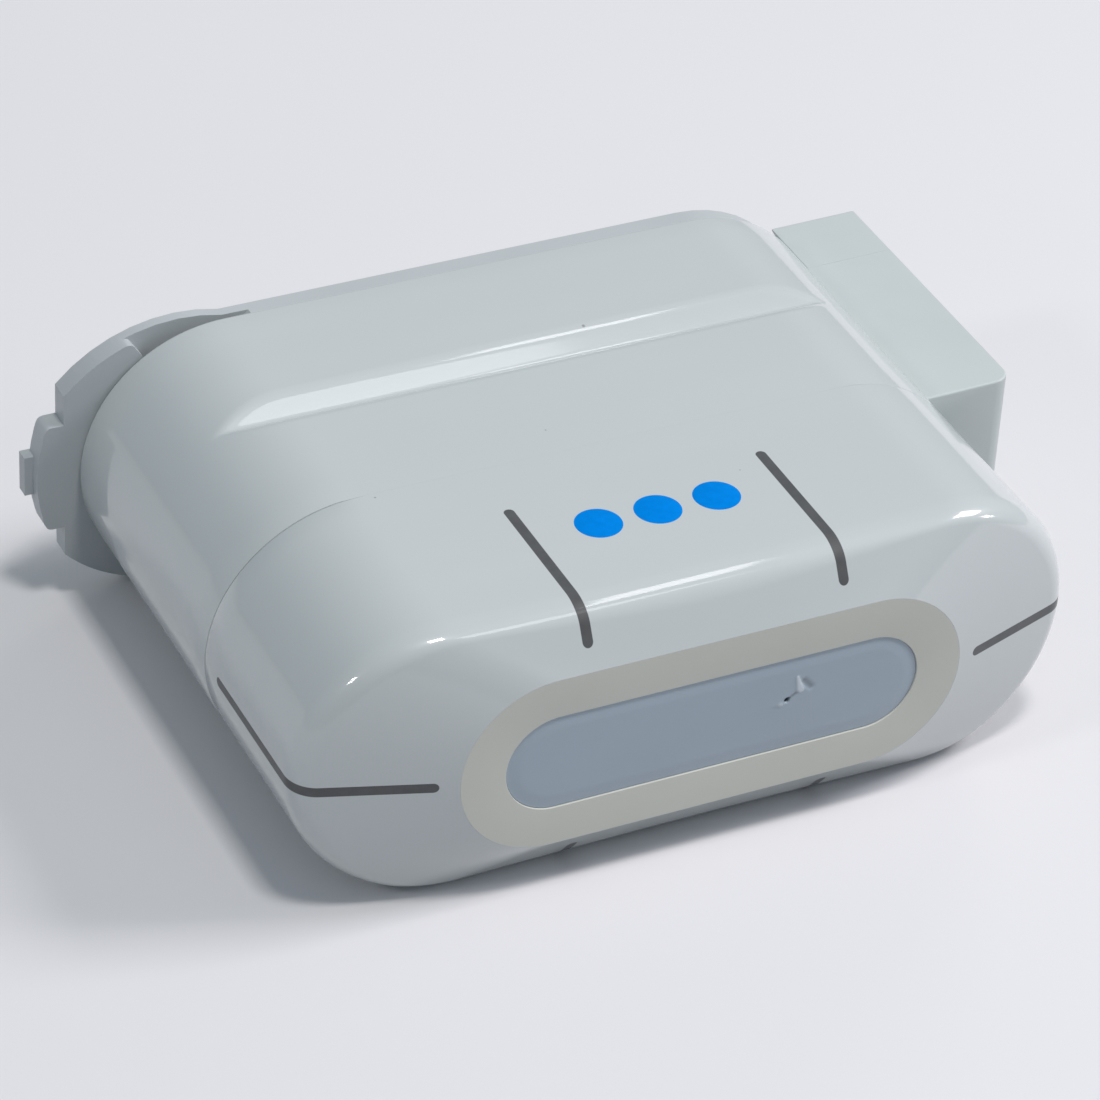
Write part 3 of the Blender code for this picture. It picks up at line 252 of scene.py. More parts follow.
def ink_material():
    """Blue pad-printing ink, nearly without gloss."""
    shader = Shader("blue_ink_look", 0.55, Specular_IOR_Level=0.02)
    shader.colour(mottled(shader, shader.noise(1400, 3.0), BLUE, 0.96, 1.04))
    shader.roughness(shader.ramp(shader.noise(2500, 2.0, shift=1.0), 0.3, 0.7, 0.48, 0.62))
    return shader.material


def frame_material():
    return moulded("frame_plastic_look", (0.622, 0.617, 0.565), 0.42, grain=0.35,
                   grain_height=0.003, mottling=0.02).material


# Damage of the film, as x and height over the axis
HOLE = (7.18, 0.40)
RIM = (6.50, 0.10)                  # small raised spot on the hole's other side
CREASE = (HOLE, (8.05, 1.00))
DENT = ((8.75, 2.15), (9.45, 1.35))
FLAP = ((8.02, 2.80), (8.42, 1.30))  # torn edge that stands up, wider at its foot
FLAP_SPREAD = 1.6

FILM = (0.376, 0.448, 0.518)
# painted shade along the crease, and painted shadow of the torn flap over the dent
SHADED_FILM = (0.10, 0.125, 0.15)
# paler torn flap, and a painted highlight on the raised spot by the hole
PALE_FILM_AND_HIGHLIGHT = (0.62, 0.68, 0.74)
# painted shade in the hole
HOLE_SHADE = (0.02, 0.035, 0.045)


def spot(place):
    """A run so short that it is a spot."""
    return place, (place[0] + 0.01, place[1])


def film_material():
    """Tight film, with painted shade along its crease and in its hole, a painted shadow of its torn
    flap, a paler flap and a painted highlight on the raised spot by the hole.
    """
    shader = moulded("membrane_film_look", FILM, 0.34, grain=1.6, grain_height=0.003,
                     mottling=0.02, Coat_Weight=0.15, Coat_Roughness=0.15)
    height = depth_and_height(shader)[1]

    def mark(run, near, far, strength, spread=0.0):
        """Mask along a run in the film's plane, which grows towards an end that spreads."""
        start, end = run
        line = Vector((end[0] - start[0], end[1] - start[1])) * MM
        dx = shader.math("SUBTRACT", shader.x, start[0] * MM)
        dz = shader.math("SUBTRACT", height, start[1] * MM)
        along = shader.math("MULTIPLY_ADD", dx, line.x / line.length_squared,
                            shader.math("MULTIPLY", dz, line.y / line.length_squared))
        along = shader.math("MINIMUM", shader.math("MAXIMUM", along, 0.0), 1.0)
        side = shader.math("MULTIPLY_ADD", along, -line.x, dx)
        rise = shader.math("MULTIPLY_ADD", along, -line.y, dz)
        away = shader.math("DIVIDE", length(shader, side, rise),
                           shader.math("MULTIPLY_ADD", along, spread, 1.0))
        return shader.ramp(away, near * MM, far * MM, strength, 0.0)

    # Paler along the torn flap, and a painted highlight on the raised spot by the hole
    white = shader.math("MAXIMUM", mark(FLAP, 0.05, 0.20, 0.95, FLAP_SPREAD),
                        mark(spot(RIM), 0.08, 0.32, 0.45))
    # Painted shade along the crease, and painted shadow of the torn flap over the dent
    shade = shader.math("MAXIMUM", mark(CREASE, 0.02, 0.28, 0.40), mark(DENT, 0.05, 0.42, 0.42))
    # Painted shade in the hole
    dark = mark(spot(HOLE), 0.16, 0.32, 0.85)
    tone = shader.mix(shade, shader.tone, SHADED_FILM)
    tone = shader.mix(white, tone, PALE_FILM_AND_HIGHLIGHT)
    shader.colour(shader.mix(dark, tone, HOLE_SHADE))
    return shader.material


GREY = (0.555, 0.598, 0.595)
# darker copy of the grey plastic for the latch plate: painted shade
SHADED_LATCH_GREY = (0.500, 0.530, 0.545)


def grey_material(name="grey_plastic_look", colour=GREY):
    return moulded(name, colour, 0.48, grain=0.3, grain_height=0.012, mottling=0.02).material


def inner_material():
    return moulded("inner_plastic_look", (0.62, 0.61, 0.56), 0.5, grain=0.4).material


def rubber_material(name, colour):
    return moulded(name, colour, 0.75, grain=0.12, grain_height=0.02, mottling=0.15).material


def turned_metal(name, colour, roughness, grain, height):
    """Machined metal: fine turning lines by noise stretched along the depth."""
    shader = Shader(name, roughness, metallic=1.0)
    lines = shader.noise(1000 / grain, 4.0, 0.65, stretch=(1, 0.08, 1))
    shader.colour(mottled(shader, shader.noise(300), colour, 0.92, 1.06))
    shader.roughness(shader.ramp(lines, 0.3, 0.7, roughness * 0.8, roughness * 1.3))
    shader.bump(lines, 0.4, height)
    return shader.material


def ceramic_material():
    return moulded("piezo_ceramic_look", (0.55, 0.47, 0.36), 0.6, grain=0.15,
                   grain_height=0.01, mottling=0.05).material


def resin_material():
    return moulded("chip_resin_look", (0.035, 0.035, 0.04), 0.5, grain=0.1, grain_height=0.01,
                   mottling=0.1).material


GOLD = (0.83, 0.60, 0.22)
PLATING = 0.06                      # depth of the contact fingers' gold, mm
TRACK = (0.50, 0.15, 0.04)
TRACK_PITCH = 0.8
TRACK_SHARE = 0.45


def board_material():
    """Green board whose raised contact fingers are plated gold."""
    shader = moulded("board_laminate_look", (0.02, 0.16, 0.08), 0.35, grain=0.25,
                     grain_height=0.008, mottling=0.08)
    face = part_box("contact_board")[1][0] - PLATING * MM
    gold = shader.math("GREATER_THAN", shader.x, face)
    shader.colour(shader.mix(gold, shader.tone, GOLD))
    shader.feed(shader.main.inputs["Metallic"], gold)
    return shader.material


def flex_material():
    """Amber film with copper tracks along it."""
    shader = moulded("polyimide_look", (0.55, 0.22, 0.03), 0.3, grain=0.5, grain_height=0.003,
                     mottling=0.06)
    phase = shader.math("FRACT", shader.math("DIVIDE", shader.z, TRACK_PITCH * MM))
    track = shader.math("LESS_THAN", phase, TRACK_SHARE)
    shader.colour(shader.mix(track, shader.tone, TRACK))
    return shader.material


LOOKS = {
    "shell_plastic": lambda: shell_material("shell_plastic_look", False),
    "frame_plastic": frame_material,
    "membrane_film": film_material,
    "grey_plastic": grey_material,
    "inner_plastic": inner_material,
    "black_rubber": lambda: rubber_material("black_rubber_look", (0.03, 0.03, 0.032)),
    "blue_rubber": lambda: rubber_material("blue_rubber_look", (0.06, 0.16, 0.32)),
    "steel": lambda: turned_metal("steel_look", (0.60, 0.61, 0.62), 0.26, 0.2, 0.003),
    "bronze": lambda: turned_metal("bronze_look", (0.58, 0.40, 0.20), 0.42, 0.12, 0.008),
    "nickel": lambda: turned_metal("nickel_look", (0.68, 0.66, 0.61), 0.18, 0.4, 0.002),
    "piezo_ceramic": ceramic_material,
    "board_laminate": board_material,
    "chip_resin": resin_material,
    "polyimide": flex_material,
}
looks = {slot: make() for slot, make in LOOKS.items()}
for part in frame["record"]["subparts"]:
    node = frame["nodes"][part["node"]]
    node.data.materials.clear()
    node.data.materials.append(looks[part["material_slot"]])


# Mesh building

SHARP_ANGLE = math.radians(32)
END_STEPS = 72
FLAT_STEPS = 60


def finish_mesh(name, builder, material, replaced=()):
    """Close a filled bmesh into a smooth piece that rides on the housing."""
    bmesh.ops.recalc_face_normals(builder, faces=builder.faces)
    mesh = bpy.data.meshes.new(name)
    builder.to_mesh(mesh)
    builder.free()
    mesh.shade_smooth()
    mesh.set_sharp_from_angle(angle=SHARP_ANGLE)
    mesh.materials.append(material)
    piece = bpy.data.objects.new(name, mesh)
    bpy.context.scene.collection.objects.link(piece)
    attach(piece, "housing")
    if replaced:
        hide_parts(*replaced)
    return piece


def skin(loops, hollow=False, open_start=False):
    """Faces between equal loops; a hollow one joins its last loop to its first."""
    builder = bmesh.new()
    rings = [[builder.verts.new(point) for point in loop] for loop in loops]
    pairs = list(zip(rings, rings[1:]))
    if hollow:
        pairs.append((rings[-1], rings[0]))
    for first, second in pairs:
        for i, vertex in enumerate(first):
            j = (i + 1) % len(first)
            builder.faces.new((vertex, first[j], second[j], second[i]))
    if not hollow:
        builder.faces.new(rings[-1])
        if not open_start:
            builder.faces.new(rings[0])
    return builder


def evenly(reach):
    return [reach * (2 * i / FLAT_STEPS - 1) for i in range(1, FLAT_STEPS)]


def quarter_turn(steps):
    """Shares (across, along) of an eased edge's width, from its side round to its end face."""
    for i in range(steps + 1):
        angle = math.pi / 2 * i / steps
        yield 1 - math.cos(angle), 1 - math.sin(angle)


def stadium(half_width, half_height, end_steps=END_STEPS, columns=None):
    """Points (x, z) round a slot shape: two half circles joined by flats."""
    reach = half_width - half_height
    if columns is None:
        columns = evenly(reach)
    points = []
    for side in (1, -1):
        for i in range(end_steps + 1):
            angle = math.pi / 2 - math.pi * i / end_steps
            across = reach + half_height * math.cos(angle)
            points.append((side * across, side * half_height * math.sin(angle)))
        for x in (reversed(columns) if side > 0 else columns):
            points.append((x, -side * half_height))
    return points


def ring(inset, depth, width=HALF_WIDTH, height=HALF_HEIGHT):
    return [at(x, depth, z) for x, z in stadium(width - inset, height - inset)]


def smooth(value, low, high):
    t = min(1.0, max(0.0, (value - low) / (high - low)))
    return t * t * (3 - 2 * t)


def soft_min(a, b, blend):
    h = min(1.0, max(0.0, 0.5 + 0.5 * (b - a) / blend))
    return b + (a - b) * h - blend * h * (1 - h)


# Parting line
SEAM_OPENS = (23.4, 26.4)           # |x| between which the closed line on the flats opens up
RIGHT_SEAM = 0.12                   # how far it opens at the right end, as a share of the left
SEAM_HAIR = 0.002
SEAM_SLIT = 0.04                    # half width of the open slit
SEAM_EDGE = ((0.08, 0.0), (0.02, 0.03), (0.0, 0.08))  # insets and setbacks of its eased edges


def seam_ring(inset, side, away):
    """A loop beside the parting line, which closes up to a hair on the flats."""
    loop = []
    plain = stadium(HALF_WIDTH, HALF_HEIGHT)
    moved = stadium(HALF_WIDTH - inset, HALF_HEIGHT - inset)
    for (x, z), (x_in, z_in) in zip(plain, moved):
        open_share = smooth(abs(x), *SEAM_OPENS) * (1.0 if x < 0 else RIGHT_SEAM)
        depth = SEAM + side * (SEAM_HAIR + SEAM_SLIT * open_share + away)
        px = x + (x_in - x) * open_share
        pz = z + (z_in - z) * open_share
        loop.append(at(px, depth, pz))
    return loop


# Nose
OPENING = (24.66, 9.06)
NOSE_WALL = (27.2, 10.45)           # inner front corner of the nose
NOSE_WALL_DEPTH = 8.5
NOSE_DEPTHS = (10.0, 14.0, 18.0, 22.0)
RIDGE_DEPTH = 2.7
RIDGE_SWEEP = 1.8
CHIN_SETBACK = 1.3
CHIN_REACH = 30.0
RIDGE_REACH = 2.2                   # how far from the ridge its rounding begins
RIDGE_STEPS = 16
LEDGE_INSET = 1.8
LEDGE_FRONT = 2.4
LEDGE_BACK = 3.7
LIP_INSET = 1.3
LIP_END = 27.55
INK = 0.012                         # thickness of the printed dots, which the nose makes room for


def ridge_depth(x, z):
    """Unrounded ridge of the nose: swept back at both ends, and set back along the chin."""
    sweep = RIDGE_DEPTH + RIDGE_SWEEP * (x / HALF_WIDTH) ** 2
    if z < 0:
        sweep += CHIN_SETBACK * max(1 - (x / CHIN_REACH) ** 2, 0) * (z / HALF_HEIGHT) ** 2
    return sweep


def front_shell_look():
    """Nose with a rounded ridge between its facets and its sides."""
    outer = stadium(HALF_WIDTH - INK, HALF_HEIGHT - INK)
    inner = stadium(*OPENING)
    rows = []
    for (x, z), (ox, oz) in zip(outer, inner):
        corner = at(x, ridge_depth(x, z), z)
        front = at(ox, 0.0, oz)
        back = at(x, SEAM, z)
        first = corner + (front - corner).normalized() * RIDGE_REACH * MM
        last = corner + (back - corner).normalized() * RIDGE_REACH * MM
        weight = math.sin((front - corner).angle(back - corner) / 2)
        column = [front, front + (first - front) * 0.04, front + (first - front) * 0.5]
        for i in range(RIDGE_STEPS + 1):
            t = i / RIDGE_STEPS
            a, b, c = (1 - t) ** 2, 2 * t * (1 - t) * weight, t * t
            column.append((first * a + corner * b + last * c) / (a + b + c))
        rows.append(column)
    loops = [list(level) for level in zip(*rows)]
    loops += [ring(INK, depth) for depth in NOSE_DEPTHS]
    loops += [seam_ring(inset, -1, away) for inset, away in reversed(SEAM_EDGE)]
    wide, tall = OPENING
    loops += [
        ring(LIP_INSET, SEAM - 0.1), ring(LIP_INSET, LIP_END), ring(WALL, LIP_END),
        ring(WALL, NOSE_WALL_DEPTH), ring(0, LEDGE_BACK, *NOSE_WALL),
        ring(LEDGE_INSET, LEDGE_BACK, wide, tall), ring(LEDGE_INSET, LEDGE_FRONT, wide, tall),
        ring(0, LEDGE_FRONT, wide, tall),
    ]
    finish_mesh("front_shell_look", skin(loops, hollow=True),
                shell_material("printed_shell_look", True), ["front_shell"])


# Sleeve
GROOVE_FRONT = (38.2, 0.78)         # depth where the groove's front side meets the top, and slope
GROOVE_REAR = (42.5, 0.74)
GROOVE_BOTTOM_BLEND = 0.35
GROOVE_EDGE_BLEND = 0.45
GROOVE_START = 36.8
GROOVE_STEP = 0.14
GROOVE_LOOPS = 51
SLEEVE_FRONT_DEPTHS = (28.0, 32.0, 35.5)
SLEEVE_REAR_DEPTHS = (45.5, 49.0, 53.0)
REAR_EDGE = 0.5
SEAT_INSET = 1.0                    # seats of the rear cap and of the nose's lip
GASKET_SHOULDER = 28.75
CAP_SHOULDER = 52.3
RIB_INSET = 3.0                     # thicker wall behind the grooves
RIB = (36.6, 37.4, 43.1, 43.9)
PORT = ((32.8, 37.6, -6.2), (40.6, 44.6, 6.2))


def groove_height(depth):
    """Height over the axis of the finger groove's V, with a rounded bottom."""
    (front_start, front_slope), (rear_start, rear_slope) = GROOVE_FRONT, GROOVE_REAR
    front = HALF_HEIGHT - front_slope * (depth - front_start)
    rear = HALF_HEIGHT + rear_slope * (depth - rear_start)
    return -soft_min(-front, -rear, GROOVE_BOTTOM_BLEND)


def sleeve_ring(depth):
    """Outside loop of the rear shell, sunk where the grooves pass."""
    level = groove_height(depth)
    loop = []
    for x, z in stadium(HALF_WIDTH, HALF_HEIGHT):
        tall = abs(z)
        if level < HALF_HEIGHT + 1.0:
            tall = soft_min(tall, max(level, 0.0), GROOVE_EDGE_BLEND)
        loop.append(at(x, depth, math.copysign(tall, z) if z else 0.0))
    return loop


def cut_out(piece, low, high):
    """Cut a block of space, given by two corners as x, depth and height, out of a piece."""
    builder = bmesh.new()
    bmesh.ops.create_cube(builder, size=1.0)
    first, second = at(*low), at(*high)
    for vertex in builder.verts:
        vertex.co = [a + (b - a) * (c + 0.5) for a, b, c in zip(first, second, vertex.co)]
    mesh = bpy.data.meshes.new("cutter")
    builder.to_mesh(mesh)
    builder.free()
    cutter = bpy.data.objects.new("cutter", mesh)
    bpy.context.scene.collection.objects.link(cutter)
    modifier = piece.modifiers.new("cut", "BOOLEAN")
    modifier.operation = "DIFFERENCE"
    modifier.solver = "EXACT"
    modifier.object = cutter
    cut = bpy.data.meshes.new_from_object(piece.evaluated_get(
        bpy.context.evaluated_depsgraph_get()))
    piece.modifiers.clear()
    piece.data = cut
    bpy.data.objects.remove(cutter)


def rear_shell_look():
    """Sleeve with soft-edged finger grooves, an eased rear edge and the seats inside."""
    depths = [*SLEEVE_FRONT_DEPTHS, *(GROOVE_START + GROOVE_STEP * i for i in range(GROOVE_LOOPS)),
              *SLEEVE_REAR_DEPTHS]
    loops = [seam_ring(inset, 1, away) for inset, away in SEAM_EDGE]
    loops += [sleeve_ring(depth) for depth in depths]
    loops += [ring(REAR_EDGE * across, BODY_DEPTH - REAR_EDGE * along)
              for across, along in quarter_turn(6)]
    rib_start, rib_front, rib_rear, rib_end = RIB
    loops += [
        ring(SEAT_INSET, BODY_DEPTH), ring(SEAT_INSET, CAP_SHOULDER), ring(WALL, CAP_SHOULDER),
        ring(WALL, rib_end), ring(RIB_INSET, rib_rear), ring(RIB_INSET, rib_front),
        ring(WALL, rib_start), ring(WALL, GASKET_SHOULDER), ring(SEAT_INSET, GASKET_SHOULDER),
        ring(SEAT_INSET, SEAM + 0.1),
    ]
    shell = finish_mesh("rear_shell_look", skin(loops, hollow=True), looks["shell_plastic"],
                        ["rear_shell"])
    cut_out(shell, *PORT)


# Window
WINDOW = (20.3, 5.0)
FRAME_CLEARANCE = 0.01
FRAME_BACK = 1.4
FRAME_EDGE = 0.06
FILM_CLEARANCE = 0.008
FILM_FRONT = 0.06                   # film behind the frame's front
FILM_THICKNESS = 0.4
FILM_RIM = (0.09, 1.5)              # depth and width of the film's fall towards its rim
FILM_LOOPS = 56
FILM_END_STEPS = 40
FLANGE = 1.7
FLANGE_HALF_HEIGHT = 9.0
DAMAGED_X = (5.5, 10.5)
DAMAGED_Z = (-1.0, 3.8)
FINE_COLUMNS = (5.8, 10.2)          # x between which the film's mesh is fine
FINE_STEP = 0.09
COARSE_STEP = 0.6


def window_frame_look():
    """Flush ring with an eased inner edge."""
    outline = tuple(half - FRAME_CLEARANCE for half in OPENING)
    loops = [ring(0, 0.0, *outline), ring(0, FRAME_BACK, *outline), ring(0, FRAME_BACK, *WINDOW)]
    loops += [ring(-FRAME_EDGE * across, FRAME_EDGE * along, *WINDOW)
              for across, along in quarter_turn(6)]
    finish_mesh("window_frame_look", skin(loops, hollow=True), looks["frame_plastic"],
                ["window_frame"])


def from_run(x, z, run, spread=0.0):
    """Distance in mm from a point of the film to a straight run, less towards a spread end."""
    start, end = Vector(run[0]), Vector(run[1])
    point = Vector((x, z))
    along = (end - start)
    share = min(1.0, max(0.0, (point - start).dot(along) / along.length_squared))
    return (point - start - along * share).length / (1 + spread * share)


def film_damage(x, z):
    """How far in the film lies, in mm, by its puncture, crease and torn edge."""
    if not (DAMAGED_X[0] < x < DAMAGED_X[1] and DAMAGED_Z[0] < z < DAMAGED_Z[1]):
        return 0.0
    effects = (
        # depth, distance from the middle, and where the effect starts to fade and ends
        (0.34, math.dist((x, z), HOLE), 0.12, 0.36),
        (0.09, from_run(x, z, CREASE), 0.0, 0.34),
        (0.10, from_run(x, z, DENT), 0.05, 0.55),
        (-0.10, from_run(x, z, FLAP, FLAP_SPREAD), 0.02, 0.20),
        (-0.07, math.dist((x, z), RIM), 0.05, 0.42),
    )
    pushed = sum(depth * (1 - smooth(away, near, far)) for depth, away, near, far in effects)
    return max(pushed, -FILM_FRONT)


def film_columns(reach):
    """Places along the film's flats, close together round its damage."""
    columns = []
    x = -reach
    while x < reach:
        x += FINE_STEP if FINE_COLUMNS[0] < x < FINE_COLUMNS[1] else COARSE_STEP
        if x < reach - 0.05:
            columns.append(x)
    return columns


def window_film_look():
    """Formed film: a flange behind the frame and a middle that fills the window."""
    width, tall = (half - FILM_CLEARANCE for half in WINDOW)
    reach = width - tall
    columns = film_columns(reach)

    def loop(inset, depth, size=(width, tall), damaged=False):
        points = []
        for x, z in stadium(size[0] - inset, size[1] - inset, FILM_END_STEPS, columns):
            pushed = film_damage(x, z) if damaged else 0.0
            points.append(at(x, depth + pushed, z))
        return points

    outer = (reach + FLANGE_HALF_HEIGHT, FLANGE_HALF_HEIGHT)
    levels = []
    shallowest, deepest = 0.06, tall - 0.03
    for i in range(FILM_LOOPS + 1):
        inset = shallowest + (deepest - shallowest) * (1 - i / FILM_LOOPS)
        sunk = FILM_RIM[0] * (1 - smooth(inset, 0.0, FILM_RIM[1]))
        levels.append(loop(inset, FILM_FRONT + sunk, damaged=True))
    levels += [loop(0.0, FILM_FRONT + 0.15), loop(0.0, FLANGE),
               loop(0.0, FLANGE, outer), loop(0.0, FLANGE + FILM_THICKNESS, outer),
               loop(FILM_THICKNESS, FLANGE + FILM_THICKNESS),
               loop(FILM_THICKNESS, FILM_FRONT + FILM_THICKNESS + 0.2)]
    builder = skin(levels, open_start=True)

    # The innermost loop is a thin slot, filled column by column
    builder.verts.ensure_lookup_table()
    inner = builder.verts[:len(levels[0])]
    end, count = FILM_END_STEPS + 1, len(columns)
    right, bottom = inner[:end], inner[end:end + count]
    left, top = inner[end + count:2 * end + count], inner[2 * end + count:][::-1]
    builder.faces.new(right + [bottom[0], top[0]])
    builder.faces.new(left + [top[-1], bottom[-1]])
    for i in range(count - 1):
        builder.faces.new((bottom[i], bottom[i + 1], top[i + 1], top[i]))
    finish_mesh("window_film_look", builder, looks["membrane_film"],
                ["window_membrane"])


# Printed dots
DOT_PITCH = 5.835
DOT_DEPTH = 13.4
DOT_RADIUS = 2.185
DOT_EDGE = 0.02
DOT_STEPS = 96


def circle(x, z, radius, depth, steps):
    """Loop round an axis that runs along the depth."""
    return [at(x + radius * math.cos(math.tau * i / steps), depth,
               z + radius * math.sin(math.tau * i / steps)) for i in range(steps)]


def print_dots():
    """Three dots of ink on the nose."""
    ink = ink_material()
    layers = ((DOT_RADIUS, -2 * INK), (DOT_RADIUS, -INK / 2), (DOT_RADIUS - DOT_EDGE, 0.0))
    for number, side in enumerate((-1, 0, 1)):
        levels = []
        for radius, lift in layers:
            levels.append([at(side * DOT_PITCH + radius * math.cos(math.tau * i / DOT_STEPS),
                              DOT_DEPTH + radius * math.sin(math.tau * i / DOT_STEPS),
                              HALF_HEIGHT + lift) for i in range(DOT_STEPS)])
        finish_mesh(f"print_dot_{number + 1}", skin(levels), ink)


# Connector block and latch plate
BLOCK_SEAM = 52.5                   # between the block's two lengths
BLOCK_SEAM_HAIR = 0.006
BLOCK_HAIR = 0.03                   # between the block's hollow side and the housing
PLATE_HAIR = 0.08                   # between the latch plate and the housing's rear edge
SOFT_EDGE = 0.22
HARD_ANGLE = math.radians(35)


def against_housing(place):
    """True for a point on the block's hollow side."""
    x, y, z = place / MM
    away = math.hypot(x - END_X, z - AXIS_Z) - HALF_HEIGHT
    return x > END_X and y < FRONT_Y + BODY_DEPTH + 0.5 and abs(away) < 2 * BLOCK_HAIR


def at_block_seam(place):
    return abs(place.y / MM - FRONT_Y - BLOCK_SEAM) < 0.1


def to_soften(edge):
    """True for an outer edge of a block or plate that isn't part of a joint."""
    ends = [vertex.co for vertex in edge.verts]
    return (len(edge.link_faces) == 2 and edge.calc_face_angle() > HARD_ANGLE
            and not all(map(at_block_seam, ends)) and not all(map(against_housing, ends)))


def eased(node, material, moved):
    """Copy of a hard CAD piece with soft edges, and its seats closed up as moved says."""
    builder = bmesh.new()
    builder.from_mesh(frame["nodes"][node].data)
    bmesh.ops.remove_doubles(builder, verts=builder.verts, dist=0.001 * MM)
    bmesh.ops.dissolve_limit(builder, angle_limit=math.radians(1), verts=builder.verts,
                             edges=builder.edges)
    for vertex in builder.verts:
        x, y, z = vertex.co / MM
        vertex.co = at(*moved(x, y - FRONT_Y, z - AXIS_Z))
    bmesh.ops.bevel(builder, geom=[edge for edge in builder.edges if to_soften(edge)],
                    offset=SOFT_EDGE * MM, offset_type="OFFSET", segments=3, profile=0.5,
                    affect="EDGES", clamp_overlap=True)
    piece = finish_mesh(f"{node}_look", builder, material, [node])
    flat = piece.modifiers.new("flat_faces", "WEIGHTED_NORMAL")
    flat.keep_sharp = True


def toward_housing(x, depth, z):
    """Bring the block's hollow side to a hair off the housing, and its two lengths together."""
    radial = Vector((x - END_X, z))
    if abs(radial.length - HALF_HEIGHT - GAP) < 0.05 and x > END_X:
        radial *= (HALF_HEIGHT + BLOCK_HAIR) / radial.length
        x, z = END_X + radial.x, radial.y
    for side in (-1, 1):
        if abs(depth - BLOCK_SEAM - side * GAP / 2) < 0.01:
            depth = BLOCK_SEAM + side * BLOCK_SEAM_HAIR
    return x, depth, z


def toward_rear_edge(x, depth, z):
    """Bring the latch plate to a hair behind the housing's rear edge."""
    if abs(depth - BODY_DEPTH - GAP) < 0.01:
        depth = BODY_DEPTH + PLATE_HAIR
    return x, depth, z


# Screws and fill plugs: radius of the shank, height of the head, half width of the recess
SCREW = (1.0, 0.9, 0.95)
PLUG = (1.6, 1.0, 1.5)
HEAD_STEPS = 72
HEAD_EDGE = 0.18
TIP_EDGE = 0.2
UNDER_HEAD_EDGE = 0.05
KEY_EDGE = 0.08
KEY_DEPTH = 0.6                     # as a share of the head's height
KEY_TIP_DEPTH = 0.75
KEY_TIP = 0.25                      # radius of the recess's end, as a share of its half width


def socket_head(node, shank, head, key):
    """Turned fastener in a node's place, with a domed rim and a six-sided recess in its head."""
    low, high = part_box(node)
    x, z = (low[0] + high[0]) / 2 / MM, (low[2] + high[2]) / 2 / MM - AXIS_Z
    radius = (high[0] - low[0]) / 2 / MM
    tip, end = low[1] / MM - FRONT_Y, high[1] / MM - FRONT_Y
    start = end - head

    def turned(size, depth):
        return circle(x, z, size, depth, HEAD_STEPS)

    def hexagon(size, depth):
        points = []
        for i in range(HEAD_STEPS):
            angle = math.tau * i / HEAD_STEPS
            reach = size / math.cos((angle + math.pi / 6) % (math.pi / 3) - math.pi / 6)
            points.append(at(x + reach * math.cos(angle), depth, z + reach * math.sin(angle)))
        return points

    levels = [turned(shank - TIP_EDGE, tip), turned(shank, tip + TIP_EDGE), turned(shank, start),
              turned(radius - UNDER_HEAD_EDGE, start), turned(radius, start + UNDER_HEAD_EDGE)]
    levels += [turned(radius - HEAD_EDGE * across, end - HEAD_EDGE * along)
               for across, along in quarter_turn(5)]
    levels += [hexagon(key + KEY_EDGE, end), hexagon(key, end - KEY_EDGE),
               hexagon(key, end - head * KEY_DEPTH),
               turned(key * KEY_TIP, end - head * KEY_TIP_DEPTH)]
    finish_mesh(f"{node}_look", skin(levels), looks["steel"], [node])


front_shell_look()
rear_shell_look()
window_frame_look()
window_film_look()
print_dots()
for node in ("connector_housing", "connector_cover"):
    eased(node, looks["grey_plastic"], toward_housing)
# The latch plate's darker grey is painted shade
eased("latch_plate", grey_material("latch_plastic_shaded_look", SHADED_LATCH_GREY), toward_rear_edge)
for number in (1, 2, 3, 4):
    socket_head(f"plate_screw_{number}", *SCREW)
for side in ("left", "right"):
    socket_head(f"fill_plug_{side}", *PLUG)


# Floor, light and camera

FLOOR = (0.780, 0.765, 0.785)
FLOOR_HALF = 3.0
BOUNCE = 0.66                       # share of the floor's paleness that lights the object
SKY = (0.74, 0.89, 1.0)
SKY_STRENGTH = 0.305
LAMP_DISTANCE = 1.1
LAMPS = {
    # name: (direction of the lamp, width, height, power, colour)
    "key": ((0.720, -0.170, 0.672), 0.30, 0.30, 5.8, (1.00, 0.97, 1.00)),
    "rear_fill": ((0.664, 0.664, 0.342), 0.30, 0.30, 1.1, (1.00, 0.98, 0.80)),
    "overhead": ((0.010, -0.250, 0.968), 0.16, 0.16, 4.2, (1.00, 0.98, 0.95)),
    "groove_glow": ((0.290, -0.340, 0.890), 0.22, 0.16, 0.38, (0.97, 0.99, 1.00)),
    "ridge_glint": ((0.380, -0.020, 0.925), 0.24, 0.06, 0.30, (1.00, 1.00, 1.00)),
    "left_glint": ((-0.780, -0.140, 0.610), 0.12, 0.12, 0.95, (1.00, 1.00, 1.00)),
    "right_glint": ((0.850, -0.370, 0.370), 0.16, 0.14, 0.80, (1.00, 1.00, 1.00)),
}
NOT_MIRRORED = ("rear_fill",)       # broad room light, without an image in the gloss
GLOSS_ONLY = ("groove_glow", "ridge_glint")
FOCAL_LENGTH = 161.2                # mm, on a sensor 36 mm wide
EYE = (-0.1720, -0.3285, 0.2790)
VIEW_RIGHT = (0.90285389, -0.42701245, 0.05015202)
VIEW_DOWN = (-0.21294647, -0.54545189, -0.81063927)
VIEW_AHEAD = (0.37350858, 0.72120912, -0.58339416)


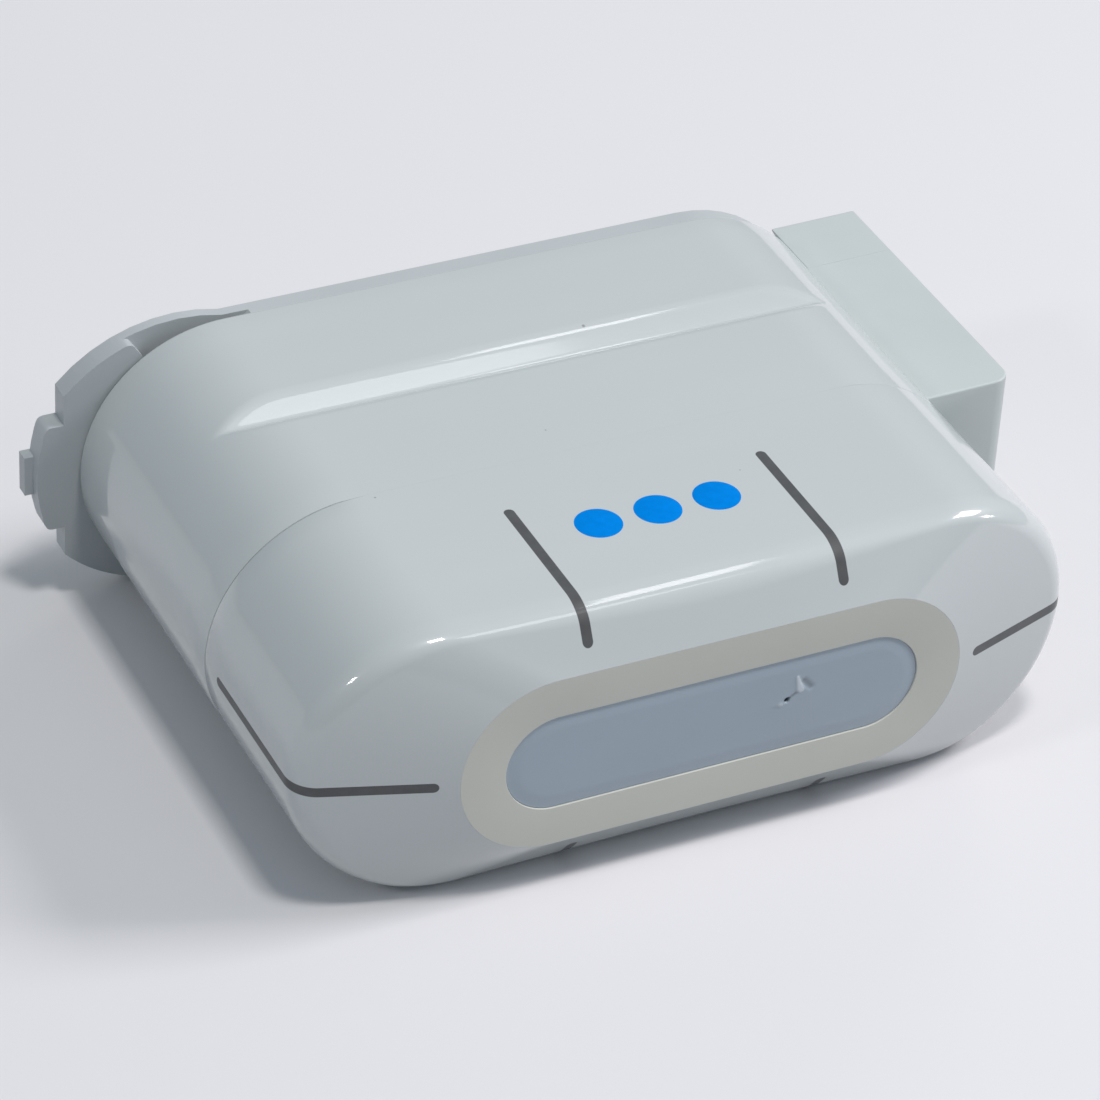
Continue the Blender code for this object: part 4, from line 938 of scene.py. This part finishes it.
def floor_material():
    """Pale paper, as pale to the camera and in reflections as written, and calmer as a light."""
    shader = Shader("floor_paper", 0.9)
    tone = mottled(shader, shader.noise(6, 3.0), FLOOR, 0.99, 1.01)
    rays = shader.tree.nodes.new("ShaderNodeLightPath").outputs
    seen = shader.math("MAXIMUM", rays["Is Camera Ray"], rays["Is Glossy Ray"])
    seen = shader.math("MAXIMUM", seen, rays["Is Transmission Ray"])
    shader.colour(shader.mix(seen, scaled(FLOOR, BOUNCE), tone))
    return shader.material


def floor():
    mesh = bpy.data.meshes.new("floor")
    corners = [(x * FLOOR_HALF, y * FLOOR_HALF, 0) for x, y in ((-1, -1), (1, -1), (1, 1), (-1, 1))]
    mesh.from_pydata(corners, [], [(0, 1, 2, 3)])
    mesh.materials.append(floor_material())
    piece = bpy.data.objects.new("floor", mesh)
    bpy.context.scene.collection.objects.link(piece)


def softbox(name, direction, width, height, power, colour):
    """Soft lamp that faces the object from one direction."""
    light = bpy.data.lights.new(name, "AREA")
    light.shape = "RECTANGLE"
    light.size, light.size_y = width, height
    light.energy = power
    light.color = colour
    lamp = bpy.data.objects.new(name, light)
    bpy.context.scene.collection.objects.link(lamp)
    lamp.location = Vector(direction).normalized() * LAMP_DISTANCE
    lamp.rotation_euler = lamp.location.to_track_quat("Z", "Y").to_euler()
    lamp.visible_glossy = name not in NOT_MIRRORED
    lamp.visible_diffuse = name not in GLOSS_ONLY


def studio():
    world = bpy.data.worlds.new("studio")
    bpy.context.scene.world = world
    world.use_nodes = True
    back = world.node_tree.nodes["Background"]
    back.inputs["Color"].default_value = (*SKY, 1)
    back.inputs["Strength"].default_value = SKY_STRENGTH
    for name, values in LAMPS.items():
        softbox(name, *values)
    bpy.context.scene.view_settings.view_transform = "Standard"


def camera():
    """Long lens at the photograph's angle."""
    data = bpy.data.cameras.new("camera")
    data.sensor_width = 36.0
    data.lens = FOCAL_LENGTH
    data.clip_start = 0.01
    eye = bpy.data.objects.new("camera", data)
    bpy.context.scene.collection.objects.link(eye)
    turn = Matrix((Vector(VIEW_RIGHT), -Vector(VIEW_DOWN), -Vector(VIEW_AHEAD))).transposed()
    eye.matrix_world = Matrix.Translation(EYE) @ turn.to_4x4()
    bpy.context.scene.camera = eye


floor()
studio()
camera()
